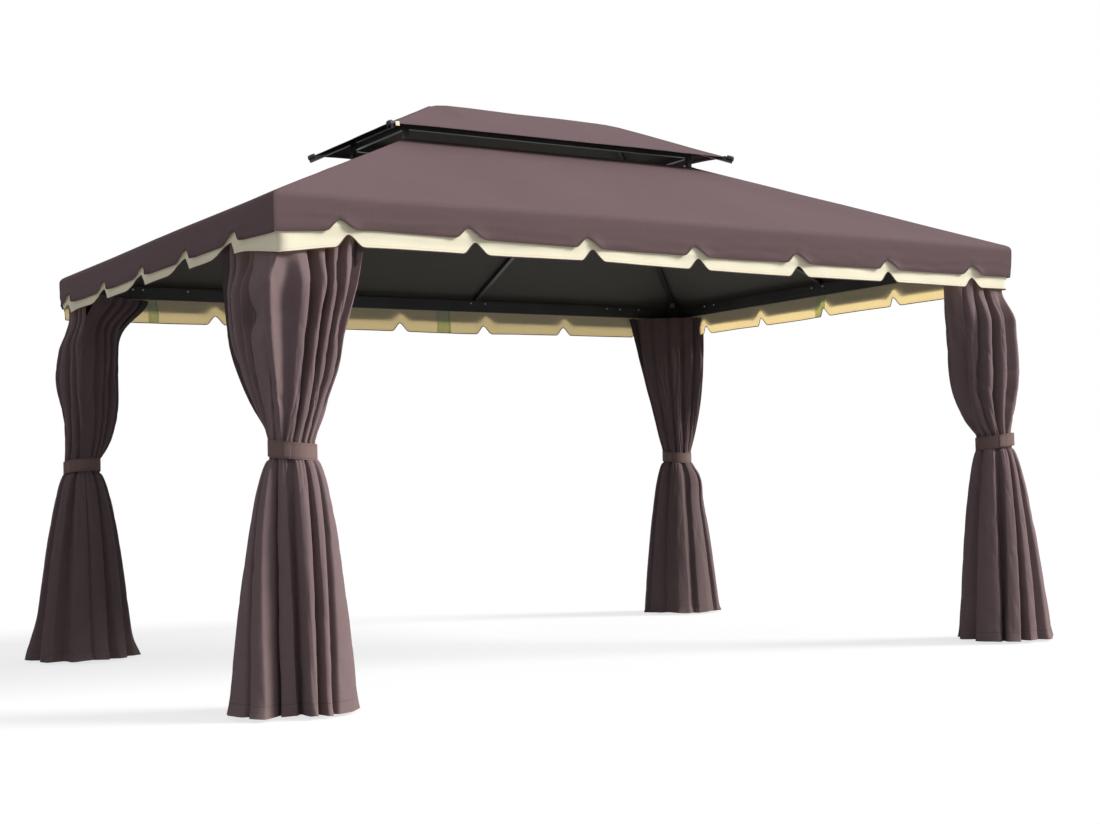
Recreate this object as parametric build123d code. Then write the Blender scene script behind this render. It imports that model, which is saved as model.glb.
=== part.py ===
from build123d import *
import math
import os

# Garden gazebo: a steel frame with a two-tier cloth roof, scalloped valances
# and a tied curtain round each corner post. Millimetres, +Z up. The origin is
# on the ground under the middle, X runs along the long sides, the front is -Y.

# Canopy, measured to the outside of the cloth
canopy_length = 4000.0
canopy_width = 3000.0
eave_height = 2008.0
roof_rise = 522.0
vent_length = 1700.0
vent_width = 624.0
cloth = 3.0

# Crown, the small roof over the vent
crown_overhang = 142.0
crown_gap = 40.0
crown_rise = 220.0
rib_overrun = 12.0

# Valance and the pale trim behind it
valance_drop = 153.0
valance_notch_height = 50.0
trim_thickness = 2.0
trim_drop = 79.0
trim_notch_height = 72.0
notch_half_width = 75.0
notch_tip = 5.0
long_notch_count = 7
short_notch_count = 5
left_shift = 118.0
right_shift = 25.0
trim_shift = 30.0

# Steel frame
beam_width = 30.0
beam_height = 45.0
beam_drop = 28.0
beam_wall = 2.0
beam_clearance = 5.0
post_size = 60.0
post_wall = 2.5
rail_size = 20.0
rail_wall = 2.0
rail_gap = 2.0
rafter_size = 25.0
rafter_wall = 1.5
rafter_setback = 13.0
fit_gap = 2.0
over = 2.0
rafter_spacing = 1000.0
ring_height = 30.0
rib_size = 20.0
rib_wall = 1.5
crown_ring_height = 28.0
hub_size = 44.0
hub_height = 30.0
shoe_width = 33.0
corner_shoe_length = 95.0
ring_seat = 4.0

# Foot plates
plate_size = 110.0
plate_thickness = 6.0
plate_hole = 9.0
plate_spacing = 80.0

# Curtains, gathered round the posts
hem_clearance = 8.0
post_clearance = 2.0
curtain_arm = 360.0
curtain_edge = 40.0
curtain_outset = 60.0
skirt_arm = 335.0
skirt_gap = 11.0
tie_height = 70.0
tie_middle = 1010.0
tie_radius = 97.0
tie_thickness = 3.0
shoulder_height = 1440.0
shoulder_arm = 250.0
shoulder_outset = 130.0
neck_height = 1160.0
neck_radius = 150.0
knee_height = 780.0
knee_radius = 158.0
hem_radius = 240.0

# Places worked out from the sizes above
half_length = canopy_length / 2
half_width = canopy_width / 2
vent_x = vent_length / 2
vent_y = vent_width / 2
vent_height = eave_height + roof_rise
crown_x = vent_x + crown_overhang
crown_y = vent_y + crown_overhang
crown_eave_height = vent_height + crown_gap
crown_height = crown_eave_height + crown_rise
ridge_x = crown_x - crown_y
long_slope = roof_rise / (half_width - vent_y)
short_slope = roof_rise / (half_length - vent_x)
crown_slope = crown_rise / crown_y
cloth_drop = cloth / math.cos(math.atan(short_slope))
beam_x = half_length - cloth - trim_thickness - beam_clearance
beam_y = half_width - cloth - trim_thickness - beam_clearance
post_x = beam_x - beam_width - post_size / 2
post_y = beam_y - beam_width - post_size / 2
beam_top = eave_height - beam_drop
beam_bottom = beam_top - beam_height
rail_bottom = beam_bottom - rail_size
valance_bottom = eave_height - valance_drop
trim_bottom = valance_bottom - trim_drop
ring_top = vent_height - cloth_drop
corners = {"front_left": (-1, -1), "front_right": (1, -1), "back_left": (-1, 1), "back_right": (1, 1)}
sides = {"front": (180, 1), "back": (0, 1), "left": (90, 0), "right": (-90, 0)}
parts = {}


def block(x0, x1, y0, y1, z0, z1):
    """A box between two corners."""
    size = Box(abs(x1 - x0), abs(y1 - y0), z1 - z0)
    return Pos((x0 + x1) / 2, (y0 + y1) / 2, (z0 + z1) / 2) * size


def hollow_bar(axis, length, width, height, wall):
    """A rectangular tube centred on the origin, along X or Y."""
    outer = Box(length, width, height)
    inner = Box(length + over, width - 2 * wall, height - 2 * wall)
    tube = outer - inner
    if axis == "Y":
        return Rot(0, 0, 90) * tube
    return tube


def plate_from(points, thickness):
    """A sheet under the polygon through the points, with vertical edges."""
    return extrude(Face(Wire.make_polygon(points)), amount=thickness, dir=(0, 0, -1))


def upright_slab(points, width):
    """A slab of the given width, centred on an upright polygon."""
    return extrude(Face(Wire.make_polygon(points)), amount=width / 2, both=True)


def sloped_bar(start, end, width, height):
    """A bar whose top face runs from start to end, with upright ends."""
    run = math.hypot(end[0] - start[0], end[1] - start[1])
    depth = height / math.cos(math.atan((end[2] - start[2]) / run))
    low_start = (start[0], start[1], start[2] - depth)
    low_end = (end[0], end[1], end[2] - depth)
    return upright_slab([start, end, low_end, low_start], width)


def sloped_tube(start, end, size, wall):
    """A square tube whose top face runs from start to end."""
    run = math.hypot(end[0] - start[0], end[1] - start[1])
    rise = end[2] - start[2]
    drop = wall / math.cos(math.atan(rise / run))
    inner_start = (start[0], start[1], start[2] - drop)
    inner_end = (end[0], end[1], end[2] - drop)
    core = size - 2 * wall
    return sloped_bar(start, end, size, size) - sloped_bar(inner_start, inner_end, core, core)


def on_corner(shape, sx, sy):
    """Copies a shape made for the +X +Y corner to another corner."""
    if sx < 0 and sy < 0:
        return Rot(0, 0, 180) * shape
    if sx < 0:
        return mirror(shape, Plane.YZ)
    if sy < 0:
        return mirror(shape, Plane.XZ)
    return shape


# Steel frame: posts, eave beams and curtain rails
def make_post():
    """A square tube welded to its foot plate, with four bolt holes."""
    tube = Pos(0, 0, (beam_top + plate_thickness) / 2) * Box(post_size, post_size, beam_top - plate_thickness)
    core = post_size - 2 * post_wall
    hollow = Box(core, core, beam_top - plate_thickness)
    tube -= Pos(0, 0, (beam_top + plate_thickness + over) / 2) * hollow
    foot = Pos(0, 0, plate_thickness / 2) * Box(plate_size, plate_size, plate_thickness)
    holes = GridLocations(plate_spacing, plate_spacing, 2, 2)
    foot -= [spot * Cylinder(plate_hole / 2, 3 * plate_thickness) for spot in holes]
    return Pos(post_x, post_y, 0) * (foot + tube)


def make_beams():
    """Long beams run corner to corner, short beams fit between them."""
    middle = beam_top - beam_height / 2
    long_beam = hollow_bar("X", 2 * beam_x, beam_width, beam_height, beam_wall)
    short_beam = hollow_bar("Y", 2 * (beam_y - beam_width), beam_width, beam_height, beam_wall)
    for name, sign in {"front": -1, "back": 1}.items():
        parts["eave_beam_" + name] = Pos(0, sign * (beam_y - beam_width / 2), middle) * long_beam
    for name, sign in {"left": -1, "right": 1}.items():
        parts["eave_beam_" + name] = Pos(sign * (beam_x - beam_width / 2), 0, middle) * short_beam


def make_rails():
    """A channel under each beam, open below for the curtain gliders."""
    middle = rail_bottom + rail_size / 2
    inset = (beam_width - rail_size) / 2
    rail_x = beam_x - inset
    rail_y = beam_y - inset
    long_rail = hollow_bar("X", 2 * rail_x, rail_size, rail_size, rail_wall)
    short_rail = hollow_bar("Y", 2 * (rail_y - rail_size - rail_gap), rail_size, rail_size, rail_wall)
    rails = []
    for sign in (-1, 1):
        rails.append(Pos(0, sign * (rail_y - rail_size / 2), middle) * long_rail)
        rails.append(Pos(sign * (rail_x - rail_size / 2), 0, middle) * short_rail)
    return rails


# Roof frame: hip and middle rafters with their shoes, and the vent ring
def hip_drop(bar_width):
    """How far a flat-topped bar lies under the hip, to clear both slopes."""
    run_x = half_length - vent_x
    run_y = half_width - vent_y
    run = math.hypot(run_x, run_y)
    beside = max(long_slope * run_x / run, short_slope * run_y / run)
    return beside * bar_width / 2


def hip_rafter():
    """The rafter of the +X +Y corner and the line of its top face."""
    drop = cloth_drop + hip_drop(rafter_size)
    setback = cloth + trim_thickness + fit_gap + shoe_width / 2
    share = setback / (half_width - vent_y)
    outer = (
        half_length - share * (half_length - vent_x),
        half_width - setback,
        eave_height + share * roof_rise - drop,
    )
    inner = (vent_x, vent_y, vent_height - drop)
    reach = 1 + rafter_size / (half_width - vent_y)
    deep = tuple(outer[i] + reach * (inner[i] - outer[i]) for i in range(3))
    ring_core = block(-vent_x, vent_x, -vent_y, vent_y, eave_height, crown_height)
    return sloped_tube(deep, outer, rafter_size, rafter_wall) - ring_core, outer, inner


def under_bar(outer, inner, height, width, from_share, to_share, floor):
    """A wedge that fills the space between a level floor and a sloped bar."""
    run = math.hypot(outer[0] - inner[0], outer[1] - inner[1])
    depth = height / math.cos(math.atan((inner[2] - outer[2]) / run))
    line = []
    for share in (from_share, to_share):
        line.append(tuple(outer[i] + share * (inner[i] - outer[i]) for i in range(3)))
    top = [(p[0], p[1], p[2] - depth) for p in line]
    base = [(p[0], p[1], floor) for p in reversed(line)]
    return upright_slab(top + base, width)


def middle_rafter_line(side):
    """Outer and inner ends of a middle rafter's top face, at X or Y zero."""
    if side == "long":
        outer = (0, half_width - rafter_setback, eave_height + rafter_setback * long_slope - cloth_drop)
        inner = (0, vent_y, vent_height - cloth_drop)
    else:
        outer = (half_length - rafter_setback, 0, eave_height + rafter_setback * short_slope - cloth_drop)
        inner = (vent_x, 0, vent_height - cloth_drop)
    return outer, inner


def make_middle_rafters():
    """Two rafters on each long slope and one on each short slope."""
    rafters = []
    shoes = []
    for side in ("long", "short"):
        outer, inner = middle_rafter_line(side)
        run = half_width - vent_y if side == "long" else half_length - vent_x
        rafter = sloped_tube(inner, outer, rafter_size, rafter_wall)
        start_share = (half_width - beam_y - rafter_setback + fit_gap) / run
        end_share = start_share + (beam_width - fit_gap) / run
        shoe = under_bar(outer, inner, rafter_size, shoe_width, start_share, end_share, beam_top)
        if side == "long":
            for sx in (-1, 1):
                place = Pos(sx * rafter_spacing / 2, 0, 0)
                for sy in (-1, 1):
                    rafters.append(on_corner(place * rafter, 1, sy))
                    shoes.append(on_corner(place * shoe, 1, sy))
        else:
            for sx in (-1, 1):
                rafters.append(on_corner(rafter, sx, 1))
                shoes.append(on_corner(shoe, sx, 1))
    return rafters, shoes


def make_vent_ring():
    """The rectangle of tube that the upper ends of the rafters meet."""
    middle = ring_top - ring_height / 2
    outer = Box(2 * vent_x, 2 * vent_y, ring_height)
    inner = Box(2 * (vent_x - rafter_size), 2 * (vent_y - rafter_size), ring_height + over)
    return Pos(0, 0, middle) * (outer - inner)


# Crown frame: uprights, ring, ribs and ridge
def crown_rib_line():
    """Inner and outer ends of a crown rib's top face, +X +Y corner."""
    drop = cloth_drop + crown_slope / math.sqrt(2) * rib_size / 2
    low = crown_eave_height - rib_overrun * crown_slope - drop
    outer = (crown_x + rib_overrun, crown_y + rib_overrun, low)
    inner = (ridge_x, 0, crown_height - drop)
    return inner, outer


def crown_rib_drop():
    """The upright depth of a crown rib."""
    inner, outer = crown_rib_line()
    run = math.hypot(outer[0] - inner[0], outer[1] - inner[1])
    return rib_size / math.cos(math.atan((inner[2] - outer[2]) / run))


def crown_ring_top():
    """The crown ring ends where the ribs cross its outer corner."""
    inner, outer = crown_rib_line()
    share = (outer[1] - vent_y) / (outer[1] - inner[1])
    return outer[2] + share * (inner[2] - outer[2]) - crown_rib_drop() - ring_seat


def make_hub(height, above):
    """The block at one ridge end that takes two ribs, or a taller one to cut with."""
    half = hub_size / 2
    top = crown_height - cloth_drop - crown_slope * half + above
    return block(ridge_x - half, ridge_x + half, -half, half, top - height, top)


def make_crown_frame():
    """Corner uprights cut to the ribs, the ring between them, ribs, ridge."""
    inner, outer = crown_rib_line()
    rib = sloped_tube(inner, outer, rib_size, rib_wall) - make_hub(4 * hub_height, hub_height)
    depth = crown_rib_drop()
    cap = [
        (inner[0], inner[1], inner[2] - depth),
        (outer[0], outer[1], outer[2] - depth),
        (outer[0], outer[1], outer[2] + crown_rise),
        (inner[0], inner[1], inner[2] + crown_rise),
    ]
    above = upright_slab(cap, 4 * rafter_size)
    low_x = vent_x - rafter_size
    low_y = vent_y - rafter_size
    upright = block(low_x, vent_x, low_y, vent_y, ring_top, crown_height) - above
    parts["crown_uprights"] = [on_corner(upright, sx, sy) for sx, sy in corners.values()]
    parts["crown_ribs"] = [on_corner(rib, sx, sy) for sx, sy in corners.values()]
    top = crown_ring_top()
    middle = top - crown_ring_height / 2
    long_bar = hollow_bar("X", 2 * low_x, rib_size, crown_ring_height, rib_wall)
    short_bar = hollow_bar("Y", 2 * low_y, rib_size, crown_ring_height, rib_wall)
    bars = []
    for sign in (-1, 1):
        bars.append(Pos(0, sign * (vent_y - rib_size / 2), middle) * long_bar)
        bars.append(Pos(sign * (vent_x - rib_size / 2), 0, middle) * short_bar)
    parts["crown_ring"] = bars
    ridge_top = crown_height - cloth_drop - crown_slope * rib_size / 2
    ridge_length = 2 * ridge_x - hub_size
    ridge = hollow_bar("X", ridge_length, rib_size, rib_size, rib_wall)
    ridge = Pos(0, 0, ridge_top - rib_size / 2) * ridge
    hub = make_hub(hub_height, 0)
    parts["crown_ridge"] = ridge + hub + mirror(hub, Plane.YZ)


# Cloth: roof panels, valances and trims
def roof_panel(name, half_x, half_y, low, top_x, top_y, high):
    """One sloped sheet, mitred with its neighbours along the hips."""
    sign = -1 if name in ("front", "left") else 1
    if name in ("front", "back"):
        points = [
            (-half_x, sign * half_y, low),
            (half_x, sign * half_y, low),
            (top_x, sign * top_y, high),
            (-top_x, sign * top_y, high),
        ]
    else:
        points = [
            (sign * half_x, -half_y, low),
            (sign * half_x, half_y, low),
            (sign * top_x, top_y, high),
            (sign * top_x, -top_y, high),
        ]
        if top_y == 0:
            points = points[:3]
    return plate_from(points, cloth_drop)


def notch(u, top, height, depth):
    """The space between two scallops, cut through a hanging sheet."""
    base = top - height
    half = notch_half_width
    inside = 1 - math.sqrt(0.5)
    left_mid = (u - notch_tip - half * inside, base + height * inside)
    right_mid = (u + notch_tip + half * inside, base + height * inside)
    peak = ThreePointArc((u - notch_tip, top), (u, top + notch_tip), (u + notch_tip, top))
    left = ThreePointArc((u - notch_tip - half, base), left_mid, (u - notch_tip, top))
    right = ThreePointArc((u + notch_tip, top), right_mid, (u + notch_tip + half, base))
    below = Polyline(
        (u + notch_tip + half, base),
        (u + notch_tip + half, base - notch_tip),
        (u - notch_tip - half, base - notch_tip),
        (u - notch_tip - half, base),
    )
    outline = make_face([left, peak, right, below])
    return Plane.XZ * extrude(outline, amount=depth, both=True)


def hanging_sheet(reach, half_run, thickness, bottom, slope, edge_drop, notches, notch_top, notch_height):
    """A scalloped sheet for the +Y side, mitred at both ends."""
    top = eave_height - cloth_drop + edge_drop * slope
    profile = [
        (0, reach, bottom),
        (0, reach, top),
        (0, reach - thickness, top + thickness * slope),
        (0, reach - thickness, bottom),
    ]
    sheet = upright_slab(profile, 2 * half_run)
    inner_run = half_run - thickness
    plan = [
        (-half_run, reach, bottom),
        (half_run, reach, bottom),
        (inner_run, reach - thickness, bottom),
        (-inner_run, reach - thickness, bottom),
    ]
    sheet &= extrude(Face(Wire.make_polygon(plan)), amount=vent_height - bottom, dir=(0, 0, 1))
    for u in notches:
        sheet -= Pos(0, reach, 0) * notch(u, notch_top, notch_height, 3 * thickness)
    return sheet


def make_hangings():
    """Valance and trim of each side, turned from the +Y side."""
    shifts = {"front": 0.0, "back": 0.0, "left": left_shift, "right": right_shift}
    for name, (turn, is_long) in sides.items():
        reach = half_width if is_long else half_length
        half_run = half_length if is_long else half_width
        slope = long_slope if is_long else short_slope
        count = long_notch_count if is_long else short_notch_count
        pitch = 2 * half_run / count
        spots = [(i - (count - 1) / 2) * pitch + shifts[name] for i in range(count)]
        trim_spots = [u - trim_shift if name == "front" else u for u in spots]
        valance = hanging_sheet(
            reach, half_run, cloth, valance_bottom, slope, 0.0,
            spots, valance_bottom + valance_notch_height, valance_notch_height,
        )
        trim = hanging_sheet(
            reach - cloth, half_run - cloth, trim_thickness, trim_bottom, slope, cloth,
            trim_spots, trim_bottom + trim_notch_height, trim_notch_height,
        )
        parts["valance_" + name] = Rot(0, 0, turn) * valance
        parts["trim_" + name] = Rot(0, 0, turn) * trim


# Curtains and their tie bands
def ring_points(radius, z):
    """Eight corners round the post, the first one towards the outside."""
    return [
        (radius * math.cos(math.radians(225 + 45 * i)), radius * math.sin(math.radians(225 + 45 * i)), z)
        for i in range(8)
    ]


def spread_points(arm, outset, edge, z):
    """Eight corners of the bundle where it follows both rails."""
    middle = (arm + edge - outset) / 2
    half = (arm - outset) / 2
    return [
        (-outset, -outset, z),
        (half, -outset, z),
        (arm, -outset, z),
        (arm, edge - outset, z),
        (middle, middle, z),
        (edge - outset, arm, z),
        (-outset, arm, z),
        (-outset, half, z),
    ]


def make_curtain():
    """The gathered curtain of the +X +Y corner, hung from both rails."""
    tie_low = tie_middle - tie_height / 2
    tie_high = tie_middle + tie_height / 2
    levels = [
        spread_points(curtain_arm, curtain_outset, curtain_edge, rail_bottom),
        spread_points(skirt_arm, curtain_outset, curtain_edge, trim_bottom - skirt_gap),
        spread_points(shoulder_arm, shoulder_outset, shoulder_outset, shoulder_height),
        ring_points(neck_radius, neck_height),
        ring_points(tie_radius, tie_high),
        ring_points(tie_radius, tie_low),
        ring_points(knee_radius, knee_height),
        ring_points(hem_radius, hem_clearance),
    ]
    wires = [Wire.make_polygon(points) for points in levels]
    body = Solid.make_loft(wires, ruled=True)
    bore = post_size + 2 * post_clearance
    body -= Pos(0, 0, eave_height / 2) * Box(bore, bore, eave_height)
    return Pos(post_x, post_y, 0) * Rot(0, 0, 180) * body


def make_tie():
    """The band that holds a curtain to its post."""
    outer = RegularPolygon(tie_radius + tie_thickness, 8, rotation=0)
    inner = RegularPolygon(tie_radius, 8, rotation=0)
    band = extrude(outer - inner, amount=tie_height / 2, both=True)
    return Pos(post_x, post_y, tie_middle) * band


def build():
    """Makes every piece by name."""
    post = make_post()
    curtain = make_curtain()
    tie = make_tie()
    rafter, outer, inner = hip_rafter()
    hip_run = math.hypot(outer[0] - inner[0], outer[1] - inner[1])
    hip_shoe = under_bar(outer, inner, rafter_size, shoe_width, 0.0, corner_shoe_length / hip_run, beam_top)
    make_beams()
    parts["curtain_rails"] = make_rails()
    for name, (sx, sy) in corners.items():
        parts["post_" + name] = on_corner(post, sx, sy)
        parts["hip_rafter_" + name] = on_corner(rafter, sx, sy)
        parts["curtain_" + name] = on_corner(curtain, sx, sy)
        parts["tie_band_" + name] = on_corner(tie, sx, sy)
    parts["corner_shoes"] = [on_corner(hip_shoe, sx, sy) for sx, sy in corners.values()]
    parts["middle_rafters"], parts["rafter_shoes"] = make_middle_rafters()
    parts["vent_ring"] = make_vent_ring()
    make_crown_frame()
    roof = (half_length, half_width, eave_height, vent_x, vent_y, vent_height)
    crown = (crown_x, crown_y, crown_eave_height, ridge_x, 0, crown_height)
    for name in sides:
        parts["roof_panel_" + name] = roof_panel(name, *roof)
        parts["crown_panel_" + name] = roof_panel(name, *crown)
    make_hangings()


build()
os.makedirs("parts", exist_ok=True)
for name, shape in parts.items():
    whole = Compound(children=list(shape)) if isinstance(shape, list) else shape
    export_step(whole, "parts/" + name + ".step")
    print(name, round(whole.volume / 1000.0, 1), "cm3")
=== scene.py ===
import bpy
import bmesh
import math
import numpy as np
from mathutils import Matrix, Vector


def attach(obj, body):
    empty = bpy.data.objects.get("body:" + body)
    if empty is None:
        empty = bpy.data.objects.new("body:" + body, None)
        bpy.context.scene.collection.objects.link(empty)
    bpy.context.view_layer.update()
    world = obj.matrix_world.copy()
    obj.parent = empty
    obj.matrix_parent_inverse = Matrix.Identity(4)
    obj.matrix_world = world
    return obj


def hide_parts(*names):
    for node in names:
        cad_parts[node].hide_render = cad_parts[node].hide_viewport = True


# Garden gazebo with a two-tier cloth roof. Metres, +Z up, the front is -Y.
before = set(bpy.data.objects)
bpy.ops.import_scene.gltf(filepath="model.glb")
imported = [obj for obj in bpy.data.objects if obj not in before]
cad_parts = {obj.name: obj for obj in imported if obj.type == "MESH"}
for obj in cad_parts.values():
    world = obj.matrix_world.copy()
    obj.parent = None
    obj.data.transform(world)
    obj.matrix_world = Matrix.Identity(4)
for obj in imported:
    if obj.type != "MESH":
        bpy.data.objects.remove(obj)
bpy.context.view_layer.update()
print("frame loaded:", len(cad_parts), "nodes")


# Small tools for shapes
def ease(t):  # soft step from 0 to 1
    t = np.clip(t, 0.0, 1.0)
    return t * t * (3 - 2 * t)


def bell(x, width):  # 1 at 0, falling off on both sides
    return np.exp(-((x / width) ** 2))


def ripple(x, y, seed, octaves=3):  # soft seeded noise, about -1 to 1
    random = np.random.default_rng(seed)
    total = np.zeros(np.broadcast(x, y).shape)
    for octave in range(octaves):
        for wave in range(5):
            turn, phase = random.uniform(0, 2 * math.pi, 2)
            k = 2 * math.pi * random.uniform(0.7, 1.4) * 2**octave
            across = x * math.cos(turn) + y * math.sin(turn)
            total = total + np.sin(k * across + phase) / 2**octave
    return total / 4.5


def wavyLine(around, wave):  # wave: height, how close its waves are, seed
    height, closeness, seed = wave
    return height * ripple(around * closeness, 0 * around, seed, 2)


def unit(vectors):
    length = np.linalg.norm(vectors, axis=-1, keepdims=True)
    return vectors / np.maximum(length, 1e-9)


def addObject(name, data):
    made = bpy.data.objects.new(name, data)
    bpy.context.scene.collection.objects.link(made)
    return made


def finishPiece(name, mesh, material, softAngle):
    mesh.validate()
    mesh.polygons.foreach_set("use_smooth", [True] * len(mesh.polygons))
    mesh.set_sharp_from_angle(angle=math.radians(softAngle))
    piece = addObject(name, mesh)
    piece.data.materials.append(material)
    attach(piece, "root")
    return piece


def cutPlan(along, down):  # where each point lies on its flat cloth
    return np.stack(np.broadcast_arrays(along, down), -1)


def closedCut(around, down):  # the same for a cloth that closes on itself
    down = np.array(down)
    return cutPlan(around, np.concatenate([down, down[:, :1]], 1))


def gridPiece(name, points, cut, masks, material, closed=False, flip=False, softAngle=50):
    rows, cols = points.shape[:2]
    wrap = cols if closed else cols - 1
    i, j = np.meshgrid(np.arange(rows - 1), np.arange(wrap), indexing="ij")
    corners = [(i, j), (i + 1, j), (i + 1, j + 1), (i, j + 1)]
    if flip:
        corners.reverse()
    quads = np.stack([a * cols + b % cols for a, b in corners], -1).reshape(-1, 4)
    mesh = bpy.data.meshes.new(name)
    mesh.from_pydata(points.reshape(-1, 3).tolist(), [], quads.tolist())
    spread = np.stack([cut[a, b] for a, b in corners], -2).reshape(-1, 2)
    layer = mesh.uv_layers.new(name="cut")
    layer.data.foreach_set("uv", spread.astype(np.float32).ravel())
    for label, values in masks.items():
        mark = mesh.attributes.new(label, "FLOAT", "POINT")
        values = np.broadcast_to(values, (rows, cols)).astype(np.float32)
        mark.data.foreach_set("value", values.ravel())
    return finishPiece(name, mesh, material, softAngle)


def ringPiece(name, parts, closed, material, softAngle):  # a skin over rings of points
    vertices, faces, start = [], [], 0
    for rings in parts:
        count, sides = rings.shape[:2]
        vertices.append(rings.reshape(-1, 3))
        for i in range(count if closed else count - 1):
            a, b = start + i * sides, start + (i + 1) % count * sides
            for k in range(sides):
                n = (k + 1) % sides
                faces.append((a + k, a + n, b + n, b + k))
        if not closed:
            last = start + (count - 1) * sides
            faces.append(tuple(start + k for k in reversed(range(sides))))
            faces.append(tuple(last + k for k in range(sides)))
        start += count * sides
    mesh = bpy.data.meshes.new(name)
    mesh.from_pydata(np.concatenate(vertices).tolist(), [], faces)
    return finishPiece(name, mesh, material, softAngle)


def sweptPiece(name, path, across, along, profile, material, closed=True):
    # the profile's (across, along) points are carried down the path
    profile = np.array(profile, float)[None]
    rings = path[:, None] + across[:, None] * profile[..., :1] + along[:, None] * profile[..., 1:]
    return ringPiece(name, [rings], closed, material, 40)


def turnedPiece(name, spots, profile, material, sides):
    # each spot: place, axis; the profile of (radius, height) is turned about the axis
    profile = np.array(profile, float)[:, None]
    angles = np.arange(sides) * 2 * math.pi / sides
    parts = []
    for place, axis in spots:
        axis = unit(np.array(axis, float))
        side = unit(np.cross(axis, (0.3, 0.5, 0.81)))
        other = np.cross(axis, side)
        around = side * np.cos(angles)[:, None] + other * np.sin(angles)[:, None]
        parts.append(np.array(place) + profile[..., 1:] * axis + profile[..., :1] * around[None])
    return ringPiece(name, parts, False, material, 35)


# Small tools for materials
def put(tree, kind, wires=None, **settings):
    made = tree.nodes.new(kind)
    for key, value in settings.items():
        setattr(made, key, value)
    for key, value in (wires or {}).items():
        if isinstance(value, bpy.types.NodeSocket):
            tree.links.new(value, made.inputs[key])
        else:
            made.inputs[key].default_value = value
    return made


def maths(tree, operation, a, b=0.0):
    return put(tree, "ShaderNodeMath", {0: a, 1: b}, operation=operation).outputs[0]


def plus(tree, a, b):
    return maths(tree, "ADD", a, b)


def minus(tree, a, b):
    return maths(tree, "SUBTRACT", a, b)


def times(tree, a, b):
    return maths(tree, "MULTIPLY", a, b)


def splitXYZ(tree, vector):
    return put(tree, "ShaderNodeSeparateXYZ", {0: vector}).outputs


def joinXYZ(tree, x, y, z):
    return put(tree, "ShaderNodeCombineXYZ", {0: x, 1: y, 2: z}).outputs[0]


def noise(tree, vector, scale, detail, roughness=0.5):
    wires = {"Vector": vector, "Scale": scale, "Detail": detail, "Roughness": roughness}
    return put(tree, "ShaderNodeTexNoise", wires).outputs[0]


def blendColours(tree, factor, a, b, mode="MIX"):
    wires = {0: factor, 6: a, 7: b}
    return put(tree, "ShaderNodeMix", wires, data_type="RGBA", blend_type=mode).outputs[2]


def shadeColour(tree, base, change):  # lighter or darker by a change around 0
    tone = plus(tree, change, 1.0)
    return blendColours(tree, 1.0, base, joinXYZ(tree, tone, tone, tone), "MULTIPLY")


def remap(tree, value, low, high, newLow=0.0, newHigh=1.0):
    wires = {0: value, 1: low, 2: high, 3: newLow, 4: newHigh}
    return put(tree, "ShaderNodeMapRange", wires).outputs[0]


def colour(red, green, blue):  # from 0 to 255 as seen, to linear with alpha
    def linear(c):
        c = c / 255
        return c / 12.92 if c <= 0.04045 else ((c + 0.055) / 1.055) ** 2.4
    return (linear(red), linear(green), linear(blue), 1.0)


def makeGroup(name, inputs, outputs):  # an input without a value is a vector
    tree = bpy.data.node_groups.new(name, "ShaderNodeTree")
    for label, value in inputs.items():
        kind = "NodeSocketVector" if value is None else "NodeSocketFloat"
        socket = tree.interface.new_socket(label, in_out="INPUT", socket_type=kind)
        if value is not None:
            socket.default_value = value
    for label in outputs:
        tree.interface.new_socket(label, in_out="OUTPUT", socket_type="NodeSocketFloat")
    return tree, tree.nodes.new("NodeGroupInput").outputs, tree.nodes.new("NodeGroupOutput").inputs


def placeGroup(tree, group, **wires):
    return put(tree, "ShaderNodeGroup", wires, node_tree=group).outputs


def makeClothWeave():
    inputs = {"Vector": None, "Threads": 800.0, "Slubs": 0.5}
    tree, given, wanted = makeGroup("clothWeave", inputs, ["Height", "Shade"])
    parts = splitXYZ(tree, given["Vector"])
    waves = []
    for axis in (0, 1):
        turns = times(tree, times(tree, parts[axis], given["Threads"]), 2 * math.pi)
        waves.append(maths(tree, "SINE", turns))
    over = times(tree, waves[0], waves[1])
    streaks = []
    for stretch in ((9.0, 300.0, 1.0), (300.0, 9.0, 1.0)):  # long thin patches, each way
        wires = {0: given["Vector"], 1: stretch}
        grain = put(tree, "ShaderNodeVectorMath", wires, operation="MULTIPLY").outputs[0]
        streaks.append(noise(tree, grain, 1.0, 2.0))
    slub = minus(tree, plus(tree, streaks[0], streaks[1]), 1.0)
    shade = times(tree, slub, given["Slubs"])
    tree.links.new(plus(tree, times(tree, over, 0.35), shade), wanted["Height"])
    tree.links.new(shade, wanted["Shade"])
    return tree


def makeClothMottle():
    inputs = {"Vector": None, "Patches": 4.0, "Contrast": 0.5}
    tree, given, wanted = makeGroup("clothMottle", inputs, ["Value"])
    cloud = noise(tree, given["Vector"], given["Patches"], 5.0, 0.6)
    tree.links.new(times(tree, minus(tree, cloud, 0.5), given["Contrast"]), wanted["Value"])
    return tree


def makeStitchLine():
    inputs = {"Along": 0.0, "Across": 0.0, "Line": 0.01, "Pitch": 0.005}
    tree, given, wanted = makeGroup("stitchLine", inputs, ["Mask"])
    off = maths(tree, "ABSOLUTE", minus(tree, given["Across"], given["Line"]))
    near = remap(tree, off, 0.0006, 0.0011, 1.0, 0.0)  # a thread about 1.5 mm wide
    beat = maths(tree, "FRACT", maths(tree, "DIVIDE", given["Along"], given["Pitch"]))
    dash = maths(tree, "LESS_THAN", beat, 0.7)
    tree.links.new(times(tree, near, dash), wanted["Mask"])
    return tree


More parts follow.
